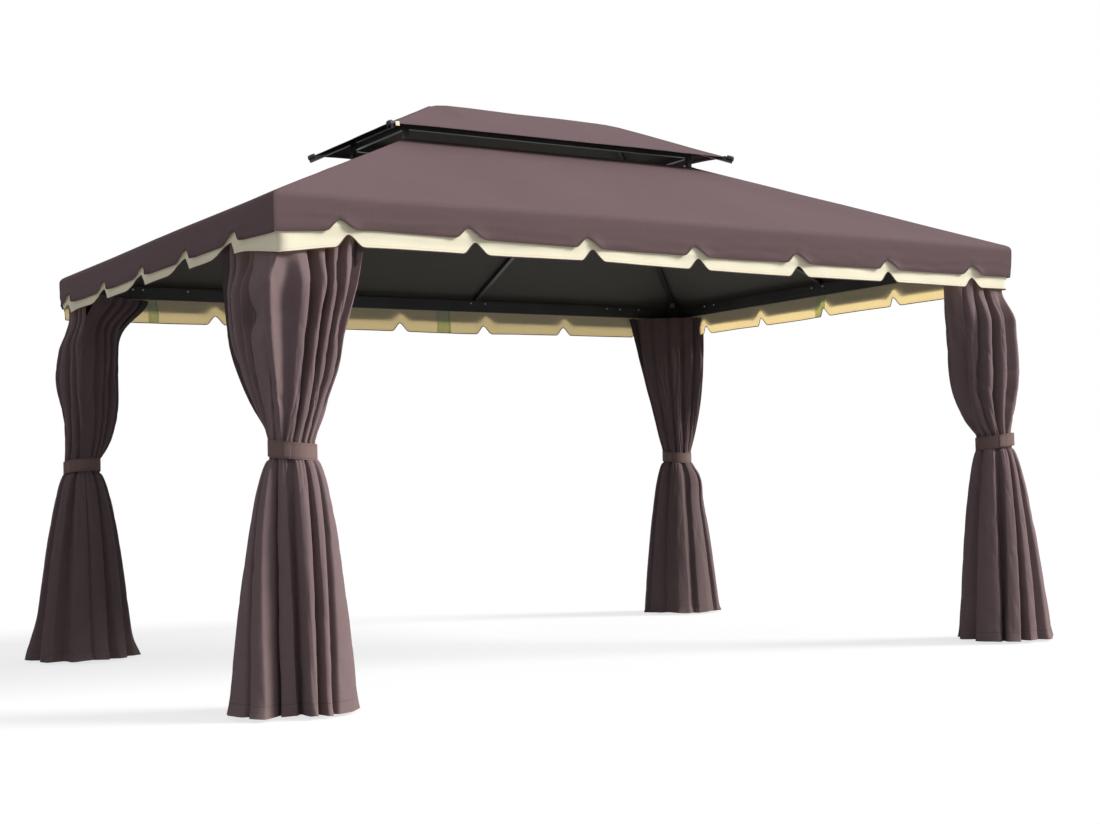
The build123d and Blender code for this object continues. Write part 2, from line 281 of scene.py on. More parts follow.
def makePowderCoat():
    inputs = {"Vector": None, "Grain": 900.0, "Scuffs": 6.0}
    tree, given, wanted = makeGroup("powderCoat", inputs, ["Height", "Shade", "Scuff"])
    peel = noise(tree, given["Vector"], given["Grain"], 2.0)
    cloud = noise(tree, given["Vector"], given["Scuffs"], 6.0)
    scratch = noise(tree, given["Vector"], 60.0, 8.0)
    tree.links.new(peel, wanted["Height"])
    tree.links.new(minus(tree, cloud, 0.5), wanted["Shade"])
    tree.links.new(remap(tree, scratch, 0.66, 0.72), wanted["Scuff"])  # only its peaks
    return tree


def makeGroundDust():
    inputs = {"Vector": None, "Low": 0.0, "High": 0.3}
    tree, given, wanted = makeGroup("groundDust", inputs, ["Mask"])
    height = splitXYZ(tree, given["Vector"])[2]
    cloud = noise(tree, given["Vector"], 14.0, 4.0)
    fall = remap(tree, height, given["Low"], given["High"], 1.0, 0.0)
    tree.links.new(times(tree, fall, cloud), wanted["Mask"])
    return tree


clothWeave = makeClothWeave()
clothMottle = makeClothMottle()
stitchLine = makeStitchLine()
powderCoat = makePowderCoat()
groundDust = makeGroundDust()


def newMaterial(name):
    material = bpy.data.materials.new(name)
    material.use_nodes = True
    tree = material.node_tree
    return material, tree, tree.nodes["Principled BSDF"], tree.nodes["Material Output"]


def dressSurface(tree, shader, base, shade, height, look):
    rough = plus(tree, times(tree, shade, look["roughChange"]), look["roughness"])
    relief = {"Strength": look["relief"], "Distance": look["reliefDepth"], "Height": height}
    tree.links.new(base, shader.inputs["Base Color"])
    tree.links.new(rough, shader.inputs["Roughness"])
    tree.links.new(put(tree, "ShaderNodeBump", relief).outputs[0], shader.inputs["Normal"])


def clothMaterial(name, look):
    material, tree, shader, output = newMaterial(name)
    cut = put(tree, "ShaderNodeUVMap", uv_map="cut").outputs[0]
    place = put(tree, "ShaderNodeTexCoord").outputs["Object"]
    behind = put(tree, "ShaderNodeNewGeometry").outputs["Backfacing"]
    fromEdge = put(tree, "ShaderNodeAttribute", attribute_name="fromEdge").outputs["Fac"]
    seam = put(tree, "ShaderNodeAttribute", attribute_name="seam").outputs["Fac"]
    weave = placeGroup(tree, clothWeave, Vector=cut, Threads=look["threads"], Slubs=look["slubs"])
    mottle = placeGroup(tree, clothMottle, Vector=place, Patches=look["patches"],
                        Contrast=look["contrast"])["Value"]
    dust = placeGroup(tree, groundDust, Vector=place, Low=0.0, High=look["dustHeight"])["Mask"]
    thread = placeGroup(tree, stitchLine, Along=splitXYZ(tree, cut)[0], Across=fromEdge,
                        Line=look["stitchAt"], Pitch=look["stitchPitch"])["Mask"]
    base = blendColours(tree, behind, colour(*look["outside"]), colour(*look["inside"]))
    base = shadeColour(tree, base, plus(tree, weave["Shade"], mottle))
    # painted shade along the seams
    dusty, seamShading = times(tree, dust, look["dust"]), times(tree, seam, look["seamShade"])
    for factor, label in ((dusty, "dustColour"), (seamShading, "seamShadeColour"), (thread, "threadColour")):
        base = blendColours(tree, factor, base, colour(*look[label]))
    height = plus(tree, weave["Height"], times(tree, thread, look["threadHeight"]))
    dressSurface(tree, shader, base, mottle, height, look)
    throughAndGlowTint = colour(*look["throughAndGlowTint"])
    # Emission is a painted glow: the cloth gives off faint light of its own in its through tint;
    # only the trim cloth has a strength above 0
    uniform = {
        "Sheen Weight": look["sheen"], "Sheen Roughness": look["sheenRoughness"],
        "Sheen Tint": colour(*look["sheenTint"]), "Specular IOR Level": look["specular"],
        "Emission Color": throughAndGlowTint, "Emission Strength": look["paintedGlow"],
    }
    for key, value in uniform.items():
        shader.inputs[key].default_value = value
    if look["glow"]:  # daylight that comes through thin cloth, more on its shaded back
        tinted = blendColours(tree, 1.0, base, throughAndGlowTint, "MULTIPLY")
        through = put(tree, "ShaderNodeBsdfTranslucent", {"Color": tinted})
        fromOutside = look["glow"] * look["glowOutside"]
        share = remap(tree, behind, 0.0, 1.0, fromOutside, look["glow"])
        wires = {0: share, 1: shader.outputs[0], 2: through.outputs[0]}
        mixed = put(tree, "ShaderNodeMixShader", wires)
        tree.links.new(mixed.outputs[0], output.inputs["Surface"])
    return material


brownCloth = {
    "outside": (106, 87, 88), "inside": (99, 98, 92), "threads": 700.0, "slubs": 0.12,
    "patches": 5.0, "contrast": 0.14, "roughness": 0.82, "roughChange": 0.3,
    "relief": 0.35, "reliefDepth": 0.0006, "specular": 0.12,
    "sheen": 0.04, "sheenRoughness": 0.45, "sheenTint": (200, 185, 200),
    "dust": 0.0, "dustHeight": 0.35, "dustColour": (150, 135, 120),
    # The seam colour is painted shade: the cloth is darkened along its seams, hips and corners
    # where it folds
    "seamShade": 0.55, "seamShadeColour": (58, 46, 48),
    "threadColour": (84, 68, 66), "threadHeight": 1.5, "stitchAt": 0.012, "stitchPitch": 0.005,
    "glow": 0.0, "glowOutside": 0.2, "throughAndGlowTint": (255, 255, 255), "paintedGlow": 0.0,
}
curtainLook = {
    **brownCloth, "slubs": 0.16, "patches": 7.0, "dust": 0.2, "stitchAt": 0.045,
    "throughAndGlowTint": (235, 222, 210),
}
roofCloth = clothMaterial("roofCloth", brownCloth)
# In both curtain cloths the inner face is painted darker than the outer face: painted shade, the
# cloth is the same colour on both sides
curtainCloth = clothMaterial("curtainCloth", {
    **curtainLook, "outside": (126, 107, 107), "inside": (80, 69, 69), "sheen": 0.05, "glow": 0.1,
})
# A darker copy of the curtain cloth, for the two back curtains: painted shade
paintedShadeCurtainCloth = clothMaterial("paintedShadeCurtainCloth", {
    **curtainLook, "outside": (109, 92, 92), "inside": (66, 57, 57), "glow": 0.05,
})
tieCloth = clothMaterial("tieCloth", {
    **brownCloth, "outside": (128, 107, 102), "stitchAt": 0.006,
})
# The trim cloth glows faintly of its own: a painted glow that makes it show brighter than its
# lighting
trimCloth = clothMaterial("trimCloth", {
    **brownCloth, "outside": (255, 250, 222), "inside": (254, 244, 206), "slubs": 0.05,
    "contrast": 0.06, "seamShadeColour": (205, 196, 162), "threadColour": (222, 212, 170),
    "sheen": 0.03, "glow": 0.46, "throughAndGlowTint": (255, 236, 196), "paintedGlow": 0.07,
})
strapCloth = clothMaterial("strapCloth", {
    **brownCloth, "outside": (232, 242, 216), "inside": (232, 242, 216), "glow": 0.42,
    "throughAndGlowTint": (246, 255, 236),
})
tapeCloth = clothMaterial("tapeCloth", {
    **brownCloth, "outside": (92, 76, 76), "inside": (92, 76, 76), "stitchAt": 0.004,
})
padCloth = clothMaterial("padCloth", {
    **brownCloth, "outside": (140, 120, 118), "inside": (140, 120, 118), "threads": 350.0,
    "slubs": 0.35, "relief": 0.8, "stitchAt": 0.004, "threadColour": (110, 92, 90),
})
print("cloth materials ready")


def paintMaterial(name, look):
    material, tree, shader, output = newMaterial(name)
    place = put(tree, "ShaderNodeTexCoord").outputs["Object"]
    coat = placeGroup(tree, powderCoat, Vector=place, Grain=look["grain"], Scuffs=look["scuffs"])
    base = shadeColour(tree, colour(*look["paint"]), times(tree, coat["Shade"], look["contrast"]))
    scuff = times(tree, coat["Scuff"], look["wear"])
    base = blendColours(tree, scuff, base, colour(*look["worn"]))
    dressSurface(tree, shader, base, coat["Shade"], coat["Height"], look)
    shader.inputs["Metallic"].default_value = look["metal"]
    return material


darkPaint = {
    "paint": (44, 45, 46), "worn": (92, 94, 96), "wear": 0.25, "grain": 700.0, "scuffs": 5.0,
    "contrast": 0.5, "roughness": 0.42, "roughChange": 0.35, "relief": 0.25,
    "reliefDepth": 0.0004, "metal": 0.0,
}
framePaint = paintMaterial("framePaint", darkPaint)
capPlastic = paintMaterial("capPlastic", {
    **darkPaint, "paint": (34, 34, 38), "worn": (88, 88, 96), "wear": 0.3, "grain": 400.0,
    "scuffs": 9.0, "contrast": 0.4, "roughness": 0.5, "relief": 0.15,
})
zincSteel = paintMaterial("zincSteel", {
    **darkPaint, "paint": (168, 170, 172), "worn": (205, 205, 205), "wear": 0.5, "grain": 500.0,
    "scuffs": 30.0, "roughness": 0.35, "relief": 0.2, "metal": 0.9,
})
nylonWhite = paintMaterial("nylonWhite", {
    **darkPaint, "paint": (205, 200, 190), "worn": (225, 222, 214), "wear": 0.3, "grain": 300.0,
    "scuffs": 12.0, "contrast": 0.3, "roughness": 0.45, "relief": 0.1,
})
print("frame materials ready")

# Steel frame keeps its CAD shapes and gets its paint
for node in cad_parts.values():
    node.data.materials.clear()
    node.data.materials.append(framePaint)

# Canopy with its hanging valance
# notches: places along each side, in the side's own direction
# notchWidths: reach of a notch before and after its middle
# hemDrift: (place, height) points that a hem follows; waves: height, closeness, seed
canopy = {
    "halfLength": 2.0, "halfWidth": 1.5, "eave": 2.008, "rise": 0.522, "inset": 0.0,
    "ventLength": 0.85, "ventWidth": 0.312, "foldSize": 0.022, "foldDrop": 0.02, "foldCut": 0.03,
    "slopeRows": 22, "foldRows": 5, "valanceRows": 12, "step": 0.02, "leastStep": 0.0008,
    "cornerColumns": (0.006, 0.016), "notchColumns": 21, "notchReach": 0.11, "notchPoint": 1.6,
    "sag": 0.009, "sagReach": 0.42, "hipReach": 0.1, "rafterSpacing": 1.0, "slopeWave": 0.0022,
    "edgeWave": (0.004, 0.5, 5), "hemWave": (0.0015, 1.3, 31), "seamWidth": 0.006,
    "bottom": 1.855, "notchHeight": 0.042, "lean": 0.008, "sway": 0.007, "flutter": 0.002,
    "fullHang": 0.13, "cornerReach": 0.12,
    "curl": 0.010, "curlFrom": 0.05, "curlWidth": 0.035, "curlBefore": 0.45,
    "notches": {
        "front": (-1.726, -1.155, -0.578, -0.008, 0.579, 1.148, 1.721),
        "right": (-1.225, -0.625, -0.025, 0.575, 1.165),
        "back": (1.714, 1.155, 0.578, 0.008, -0.571, -1.135, -1.714),
        "left": (1.080, 0.495, -0.100, -0.705, -1.325),
    },
    "notchWidths": {
        "front": (0.052, 0.074), "right": (0.080, 0.050),
        "back": (0.060, 0.060), "left": (0.160, 0.050),
    },
    "hemDrift": {
        "front": ((-2.0, -0.004), (-1.85, 0.005), (-1.6, 0.022), (-1.1, 0.015), (-0.5, 0.007),
                  (0.2, -0.001), (2.0, -0.003)),
        "right": ((-1.5, -0.004), (-1.2, -0.010), (1.2, -0.008), (1.5, -0.004)),
        "back": ((-2.0, -0.004), (2.0, -0.008)),
        "left": ((-1.5, 0.012), (-1.2, 0.008), (1.1, 0.009), (1.5, -0.006)),
    },
}
sideWays = {  # each side's direction along it and direction out of it
    "front": ((1, 0, 0), (0, -1, 0)), "right": ((0, 1, 0), (1, 0, 0)),
    "back": ((-1, 0, 0), (0, 1, 0)), "left": ((0, -1, 0), (-1, 0, 0)),
}


def bySide(side, long, short):  # the value that belongs to this side, then the other
    return (long, short) if side in ("front", "back") else (short, long)


def notchRise(u, notches, look, widths):  # how far the hem rises above its base
    rise, (before, after) = np.zeros_like(u), widths
    for middle in notches:
        away = np.where(u < middle, (middle - u) / before, (u - middle) / after)
        away = np.clip(np.sqrt(away**2 + 0.012) - 0.11, 0, 1)  # rounds off the notch's tip
        arch = 0.5 * (1 - away) ** look["notchPoint"] + 0.25 * (1 + np.cos(math.pi * away))
        rise = np.maximum(rise, look["notchHeight"] * arch)
    return rise


def sideColumns(half, notches, look):  # places along a side, closer at corners and notches
    near, far = look["cornerColumns"]
    places = [-half, -half + near, -half + far, half - far, half - near]
    spread, reach = np.linspace(-1, 1, look["notchColumns"]), look["notchReach"]
    for middle in notches:
        places += list(middle + reach * spread**3 * 0.5 + reach * spread * 0.5)
    places = np.array(sorted(places))
    filled = []
    for a, b in zip(places, np.append(places[1:], half)):
        count = max(1, math.ceil((b - a) / look["step"]))
        filled += list(np.linspace(a, b, count, endpoint=False))
    kept = [filled[0]]
    for place in filled[1:]:
        if place - kept[-1] > look["leastStep"]:
            kept.append(place)
    return np.array(kept)


def drift(u, line):  # how far a hem strays from its level, rounded off over 120 mm
    places, heights = zip(*line)
    return sum(np.interp(u + shift, places, heights) for shift in np.linspace(-0.06, 0.06, 7)) / 7


def roofLoop(look):  # one loop of columns round the four sides
    loop, travelled = {}, 0.0
    for side, (e, n) in sideWays.items():
        half, out = bySide(side, look["halfLength"], look["halfWidth"])
        ventU, ventOut = bySide(side, look["ventLength"], look["ventWidth"])
        notches = look["notches"][side]
        u = sideColumns(half, notches, look)
        rise = notchRise(u, notches, look, look["notchWidths"][side])
        count = len(u)
        columns = {
            "e": [e] * count, "n": [n] * count, "u": u, "half": [half] * count,
            "out": [out] * count, "ventU": [ventU] * count, "ventOut": [ventOut] * count,
            "around": travelled + u + half, "rise": rise + drift(u, look["hemDrift"][side]),
            "fromNotch": [min((x - m for m in notches), key=abs) for x in u],
        }
        for key, values in columns.items():
            loop.setdefault(key, []).extend(values)
        travelled += 2 * half
    loop = {key: np.array(values, float) for key, values in loop.items()}
    loop["length"], loop["inset"] = travelled, look["inset"]
    return loop


def placeOnLoop(loop, share, off):  # share: 0 at the eave, 1 at the vent
    away = loop["out"] + (loop["ventOut"] - loop["out"]) * share + off - loop["inset"]
    squeeze = (loop["ventU"] / loop["half"] - 1) * share
    reach = 1 + squeeze + (off - loop["inset"]) / loop["half"]
    return (loop["e"] * (loop["u"] * reach)[:, None] + loop["n"] * away[:, None])[:, :2]


def hangOut(loop, depth, look):  # how far a hanging sheet stands out of its plane
    around = loop["around"]
    corner = ease((loop["half"] - np.abs(loop["u"])) / look["cornerReach"])
    slow, quick = ripple(around * 0.55, 0 * around, 11, 3), ripple(around * 2.1, depth * 3, 12, 2)
    sway = slow * look["sway"] + quick * look["flutter"]
    return (-look["lean"] * depth**2 + sway * depth) * (0.8 + 0.2 * corner)


def roofPiece(name, loop, rows, cuts, fromEdge, seam, material):
    around = np.append(loop["around"], loop["length"])
    masks = {"fromEdge": np.array(fromEdge), "seam": seam}
    points = np.array(rows)
    piece = gridPiece(name, points, closedCut(around, cuts), masks, material, closed=True)
    return piece, loop, points


def makeCanopy():
    look, loop = canopy, roofLoop(canopy)
    u, half = loop["u"], loop["half"]
    foldShare = (look["foldSize"] / (loop["out"] - loop["ventOut"])).mean()  # of the slope
    slopeLength = math.hypot(look["halfWidth"] - look["ventWidth"], look["rise"])
    edgeWave = wavyLine(loop["around"], look["edgeWave"])
    isLong = half > look["halfWidth"]
    rows, cuts, fromEdge = [], [], []

    def addRow(share, off, z, down, edge):
        rows.append(np.column_stack([placeOnLoop(loop, share, off), z]))
        cuts.append(down + 0 * u)
        fromEdge.append(edge + 0 * u)

    for i in range(look["slopeRows"]):  # from the vent down to the eave
        t = i / (look["slopeRows"] - 1)
        share = 1 - (1 - foldShare) * (0.5 - 0.5 * math.cos(math.pi * t)) ** 0.9
        share = max(share, foldShare)
        signed = u * (1 + (loop["ventU"] / half - 1) * share)
        along = np.abs(signed)
        toHip = half + (loop["ventU"] - half) * share - along
        toRafter = np.where(isLong, np.abs(along - look["rafterSpacing"] / 2), along)
        sag = look["sag"] * ease(np.minimum(toRafter, toHip) / look["sagReach"])
        sag = sag * math.sin(math.pi * share) ** 0.7 * ease(toHip / look["hipReach"])
        wave = ripple(signed * 1.3, share * 1.6 + loop["n"][:, 0], 21, 3) * look["slopeWave"]
        wave = wave * math.sin(math.pi * min(share * 1.1, 1))
        z = look["eave"] + look["rise"] * share - sag + wave + edgeWave * (1 - share) ** 8
        addRow(share, 0.0, z, (1 - share) * slopeLength, 0.2 + share)
    foldTop, foldLow = look["eave"] + look["rise"] * foldShare, look["eave"] - look["foldDrop"]
    for i in range(1, look["foldRows"] + 1):  # over the eave
        t = i / look["foldRows"]
        z = (1 - t) ** 2 * foldTop + 2 * t * (1 - t) * look["eave"] + t * t * foldLow + edgeWave
        addRow(foldShare * (1 - t) ** 2, 0.0, z, slopeLength + t * look["foldCut"], 0.2)
    top = rows[-1][:, 2]
    low = look["bottom"] + loop["rise"] + wavyLine(loop["around"], look["hemWave"])
    away = loop["fromNotch"]
    curl = look["curl"] * bell(np.abs(away) - look["curlFrom"], look["curlWidth"])
    curl = curl * np.where(away > 0, 1.0, look["curlBefore"])
    for i in range(1, look["valanceRows"] + 1):  # down to the scalloped hem
        q = (i / look["valanceRows"]) ** 0.85
        z = top + (low - top) * q
        depth = np.clip((foldLow - z) / look["fullHang"], 0, 1.3)
        off = hangOut(loop, depth, look) + curl * q**4
        addRow(0.0, off, z, slopeLength + look["foldCut"] + (top - z), z - low)
    # painted shade along the hips and the valance's corners
    seam = bell(half - np.abs(u), look["seamWidth"])
    return roofPiece("canopy_cloth", loop, rows, cuts, fromEdge, seam, roofCloth)


canopyPiece, canopyLoop, canopyPoints = makeCanopy()
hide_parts(*["roof_panel_" + s for s in sideWays],
            *["valance_" + s for s in sideWays])
print("canopy", len(canopyPiece.data.polygons), "faces")

# Pale trim behind the valance; its corners turn softly below cornerFrom
trim = {
    **canopy, "inset": 0.0048, "top": 1.979, "bottom": 1.776, "notchHeight": 0.048, "rows": 16,
    "behind": 0.003, "cornerTurn": 0.020, "frontLeftTurn": 0.048, "cornerFrom": 1.905,
    "cornerEase": 0.09, "hemWave": (0.002, 1.1, 41), "looseWave": (0.004, 1.2, 43),
    "seamWidth": 0.005, "seamShare": 0.5,
    "notches": {
        "front": tuple(x + 0.030 for x in canopy["notches"]["front"]),  # a little to the right
        "right": (-1.225, -0.625, -0.021, 0.575, 1.151),
        "back": (1.714, 1.169, 0.578, 0.016, -0.551, -1.127, -1.700),
        "left": (1.020, 0.456, -0.148, -0.750, -1.400),
    },
    "notchWidths": {
        "front": (0.050, 0.062), "right": (0.060, 0.024),
        "back": (0.052, 0.046), "left": (0.240, 0.024),
    },
    "hemDrift": {
        "front": ((-2.0, -0.008), (-1.9, 0.006), (-1.75, 0.027), (-1.5, 0.031), (-0.5, 0.030),
                  (0.3, 0.017), (2.0, 0.014)),
        "right": ((-1.5, 0.014), (1.5, 0.013)),
        "back": ((-2.0, 0.014), (-1.2, 0.012), (-0.4, 0.005), (0.6, 0.010), (2.0, 0.012)),
        "left": ((-1.5, 0.024), (-1.25, 0.046), (0.9, 0.048), (1.15, 0.042), (1.5, -0.008)),
    },
}


def makeTrim():
    look, loop = trim, roofLoop(trim)
    low = look["bottom"] + loop["rise"] + wavyLine(loop["around"], look["hemWave"])
    toCorner = loop["half"] - np.abs(loop["u"])
    loose = wavyLine(loop["around"], look["looseWave"])
    rows, cuts, fromEdge = [], [], []
    for i in range(look["rows"] + 1):
        z = look["top"] + (low - look["top"]) * (i / look["rows"])
        depth = np.clip((look["eave"] - look["foldDrop"] - z) / look["fullHang"], 0, 1.7)
        off = hangOut(loop, np.minimum(depth, 1.15), look) - look["behind"] * np.clip(depth, 0, 1)
        off = off + loose * np.clip(depth - 1.0, 0, 1) * ease(toCorner / look["cornerReach"])
        place = placeOnLoop(loop, 0.0, off)
        isFrontLeft = (place[:, 0] < 0) & (place[:, 1] < 0)
        turn = np.where(isFrontLeft, look["frontLeftTurn"], look["cornerTurn"])
        turn = turn * ease((look["cornerFrom"] - z) / look["cornerEase"])
        bend = np.radians(45) * np.clip(1 - toCorner / np.maximum(turn, 1e-6), 0, 1)
        inward = turn * (1 - np.cos(bend))
        pulled = np.where(bend > 0, turn - toCorner - turn * np.sin(bend), 0.0)
        place = place - loop["n"][:, :2] * inward[:, None]
        place = place - loop["e"][:, :2] * (np.sign(loop["u"]) * pulled)[:, None]
        rows.append(np.column_stack([place, z]))
        cuts.append(look["top"] - z)
        fromEdge.append(z - low)
    # painted shade at the trim's corners
    seam = bell(toCorner, look["seamWidth"]) * look["seamShare"]
    return roofPiece("trim_cloth", loop, rows, cuts, fromEdge, seam, trimCloth)


trimPiece, trimLoop, trimPoints = makeTrim()
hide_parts(*["trim_" + s for s in sideWays])


def hemTape(name, points, loop, height, thick):  # folded tape along a scalloped edge
    edge, out = points[-1], loop["n"]
    tangent = unit(np.roll(edge, -1, 0) - np.roll(edge, 1, 0))
    outward = unit(np.roll(out, 1, 0) + 2 * out + np.roll(out, -1, 0))
    up = unit(np.cross(tangent, outward))
    up = np.where((up[:, 2] < 0)[:, None], -up, up)
    right = [(thick, height), (thick, 0), (0.5 * thick, -thick)]
    profile = right + [(-x, y) for x, y in reversed(right)]
    sweptPiece(name, edge, outward, up, profile, tapeCloth)


tape = {"valance": (0.007, 0.0011), "trim": (0.0035, 0.0009)}  # height, thickness
hemTape("valance_hem_tape", canopyPoints, canopyLoop, *tape["valance"])
hemTape("trim_hem_tape", trimPoints, trimLoop, *tape["trim"])
print("trim and hem tapes")

# Crown, the small roof over the vent: its edges bow in, and the cloth lifts near the ridge
crown = {
    "halfLength": 0.992, "halfWidth": 0.454, "eave": 2.570, "rise": 0.220, "ridge": 0.538,
    "hollowLong": 0.012, "hollowShort": 0.034, "soften": 0.022, "rows": 22, "columns": 64,
    "hem": 0.022, "hemDrop": 0.004, "lift": 0.0075, "liftTilt": 0.0035, "liftEnd": 0.57,
    "liftEase": 0.13, "ridgeSoft": 0.25, "ridgeWidth": 0.03, "ridgeEnd": 0.02,
    "wave": 0.0015, "seamWidth": 0.008, "seamShare": 0.7, "merge": 0.0004,
}


def crownHeight(look, x, y):  # height over the eave of a soft hip roof
    slope = look["rise"] / look["halfWidth"]
    longPlane = (look["halfWidth"] - np.abs(y)) * slope
    shortPlane = (look["halfLength"] - np.abs(x)) * slope
    k = look["soften"]
    mix = np.clip(0.5 + 0.5 * (longPlane - shortPlane) / k, 0, 1)
    z = longPlane * (1 - mix) + shortPlane * mix - k * mix * (1 - mix) * 0.5
    isRidge = np.abs(x) < look["ridge"] + look["ridgeEnd"]
    z = z - look["ridgeSoft"] * k * np.exp(-np.abs(y) / look["ridgeWidth"]) * isRidge
    lift = look["lift"] - look["liftTilt"] * x / look["ridge"]
    return z * (1 + lift / look["rise"] * ease((look["liftEnd"] - np.abs(x)) / look["liftEase"]))


def makeCrown():
    look, sides, seam = crown, [], []
    for side, (e, n) in sideWays.items():
        half, out = bySide(side, look["halfLength"], look["halfWidth"])
        hollow = bySide(side, look["hollowLong"], look["hollowShort"])[0]
        count = bySide(side, look["columns"], look["columns"] // 2)[0]
        turns = np.linspace(-math.pi / 2, math.pi / 2, count + 1)[:-1]
        even = np.linspace(-half, half, count + 1)[:-1]
        u = np.sin(turns) * half * 0.6 + even * 0.4  # closer at the corners
        way = np.array(e, float), np.array(n, float)
        sides.append((*way, half, out, *bySide(side, look["ridge"], 0.0), hollow, u))
        # painted shade along the crown's hips
        seam.append(bell(half - np.abs(u), look["seamWidth"]) * look["seamShare"])
    shares = np.linspace(0, 1, look["rows"])[::-1]
    lines = [(share, 0.0, None) for share in shares]  # share of the slope, tuck of the hem, drop
    for tuck, drop in ((0, 0.5), (0.3, 1), (1, 1)):
        lines.append((0.0, look["hem"] * tuck, look["hemDrop"] * drop))
    rows = []
    for share, tuck, drop in lines:
        row = []
        for e, n, half, out, topHalf, topOut, hollow, u in sides:
            reach = half + (topHalf - half) * share
            distance = out + (topOut - out) * share
            bow = hollow * (1 - (u / half) ** 2) * (1 - share) ** 1.5 + tuck
            spot = e * (u / half * reach)[:, None] + n * (distance - bow)[:, None]
            if drop is None:
                z = look["eave"] + crownHeight(look, spot[:, 0], spot[:, 1])
            else:
                z = look["eave"] - drop + bow * (look["rise"] / look["halfWidth"])
            spot[:, 2] = z + look["wave"] * ripple(spot[:, 0] * 2.2, spot[:, 1] * 2.2, 61, 2)
            row.append(spot)
        rows.append(np.concatenate(row))
    points = np.array(rows)
    cols = points.shape[1]
    around = np.linspace(0, 4 * (look["halfLength"] + look["halfWidth"]), cols + 1)
    down = np.concatenate([0.5 * shares, [-0.01] * 3])[:, None] * np.ones((1, cols))
    fromEdge = np.concatenate([0.3 * shares, [0.0, 0.012, 0.03]])
    masks = {"seam": np.concatenate(seam), "fromEdge": fromEdge[:, None]}
    cut = closedCut(around, down)
    piece = gridPiece("crown_cloth", points, cut, masks, roofCloth, closed=True)
    work = bmesh.new()
    work.from_mesh(piece.data)
    bmesh.ops.remove_doubles(work, verts=work.verts, dist=look["merge"])
    work.to_mesh(piece.data)
    work.free()
    return piece


crownPiece = makeCrown()
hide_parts(*["crown_panel_" + s for s in sideWays])
print("crown", len(crownPiece.data.polygons), "faces")

# Curtains: one at each corner, hung from both rails and tied to the post
curtain = {
    "postX": 1.93, "postY": 1.43, "rail": -0.041, "top": 1.905, "hem": 0.008, "hemWave": 0.005,
    "tieTop": 1.045, "tieLow": 0.975, "crestRadius": 0.089, "valleyRadius": 0.067,
    "postClear": 0.006, "postReach": 0.13, "postEase": 0.04, "cornerTurn": 0.05,
    "columns": 320, "rowsAbove": 92, "rowsBand": 7, "rowsBelow": 86,
    "crisp": 0.55, "crestShare": 0.30, "swellReach": 0.17, "flareReach": 0.13,
    "wander": 0.0025, "wanderStep": 0.37, "turnWander": 0.016, "valleyUnder": 0.2,
    "valleyDelay": 0.15, "fineWrinkle": 0.0030,
    # depth, how close across, slant, how close down, seed
    "creases": ((0.0032, 5.5, 0.7, 0.8, 41), (0.0030, 6, -1.2, 1.5, 46)),
    "crossCrease": 0.0018, "pucker": 0.0020, "topPucker": 0.0015, "puckers": 40, "kick": 0.012,
}
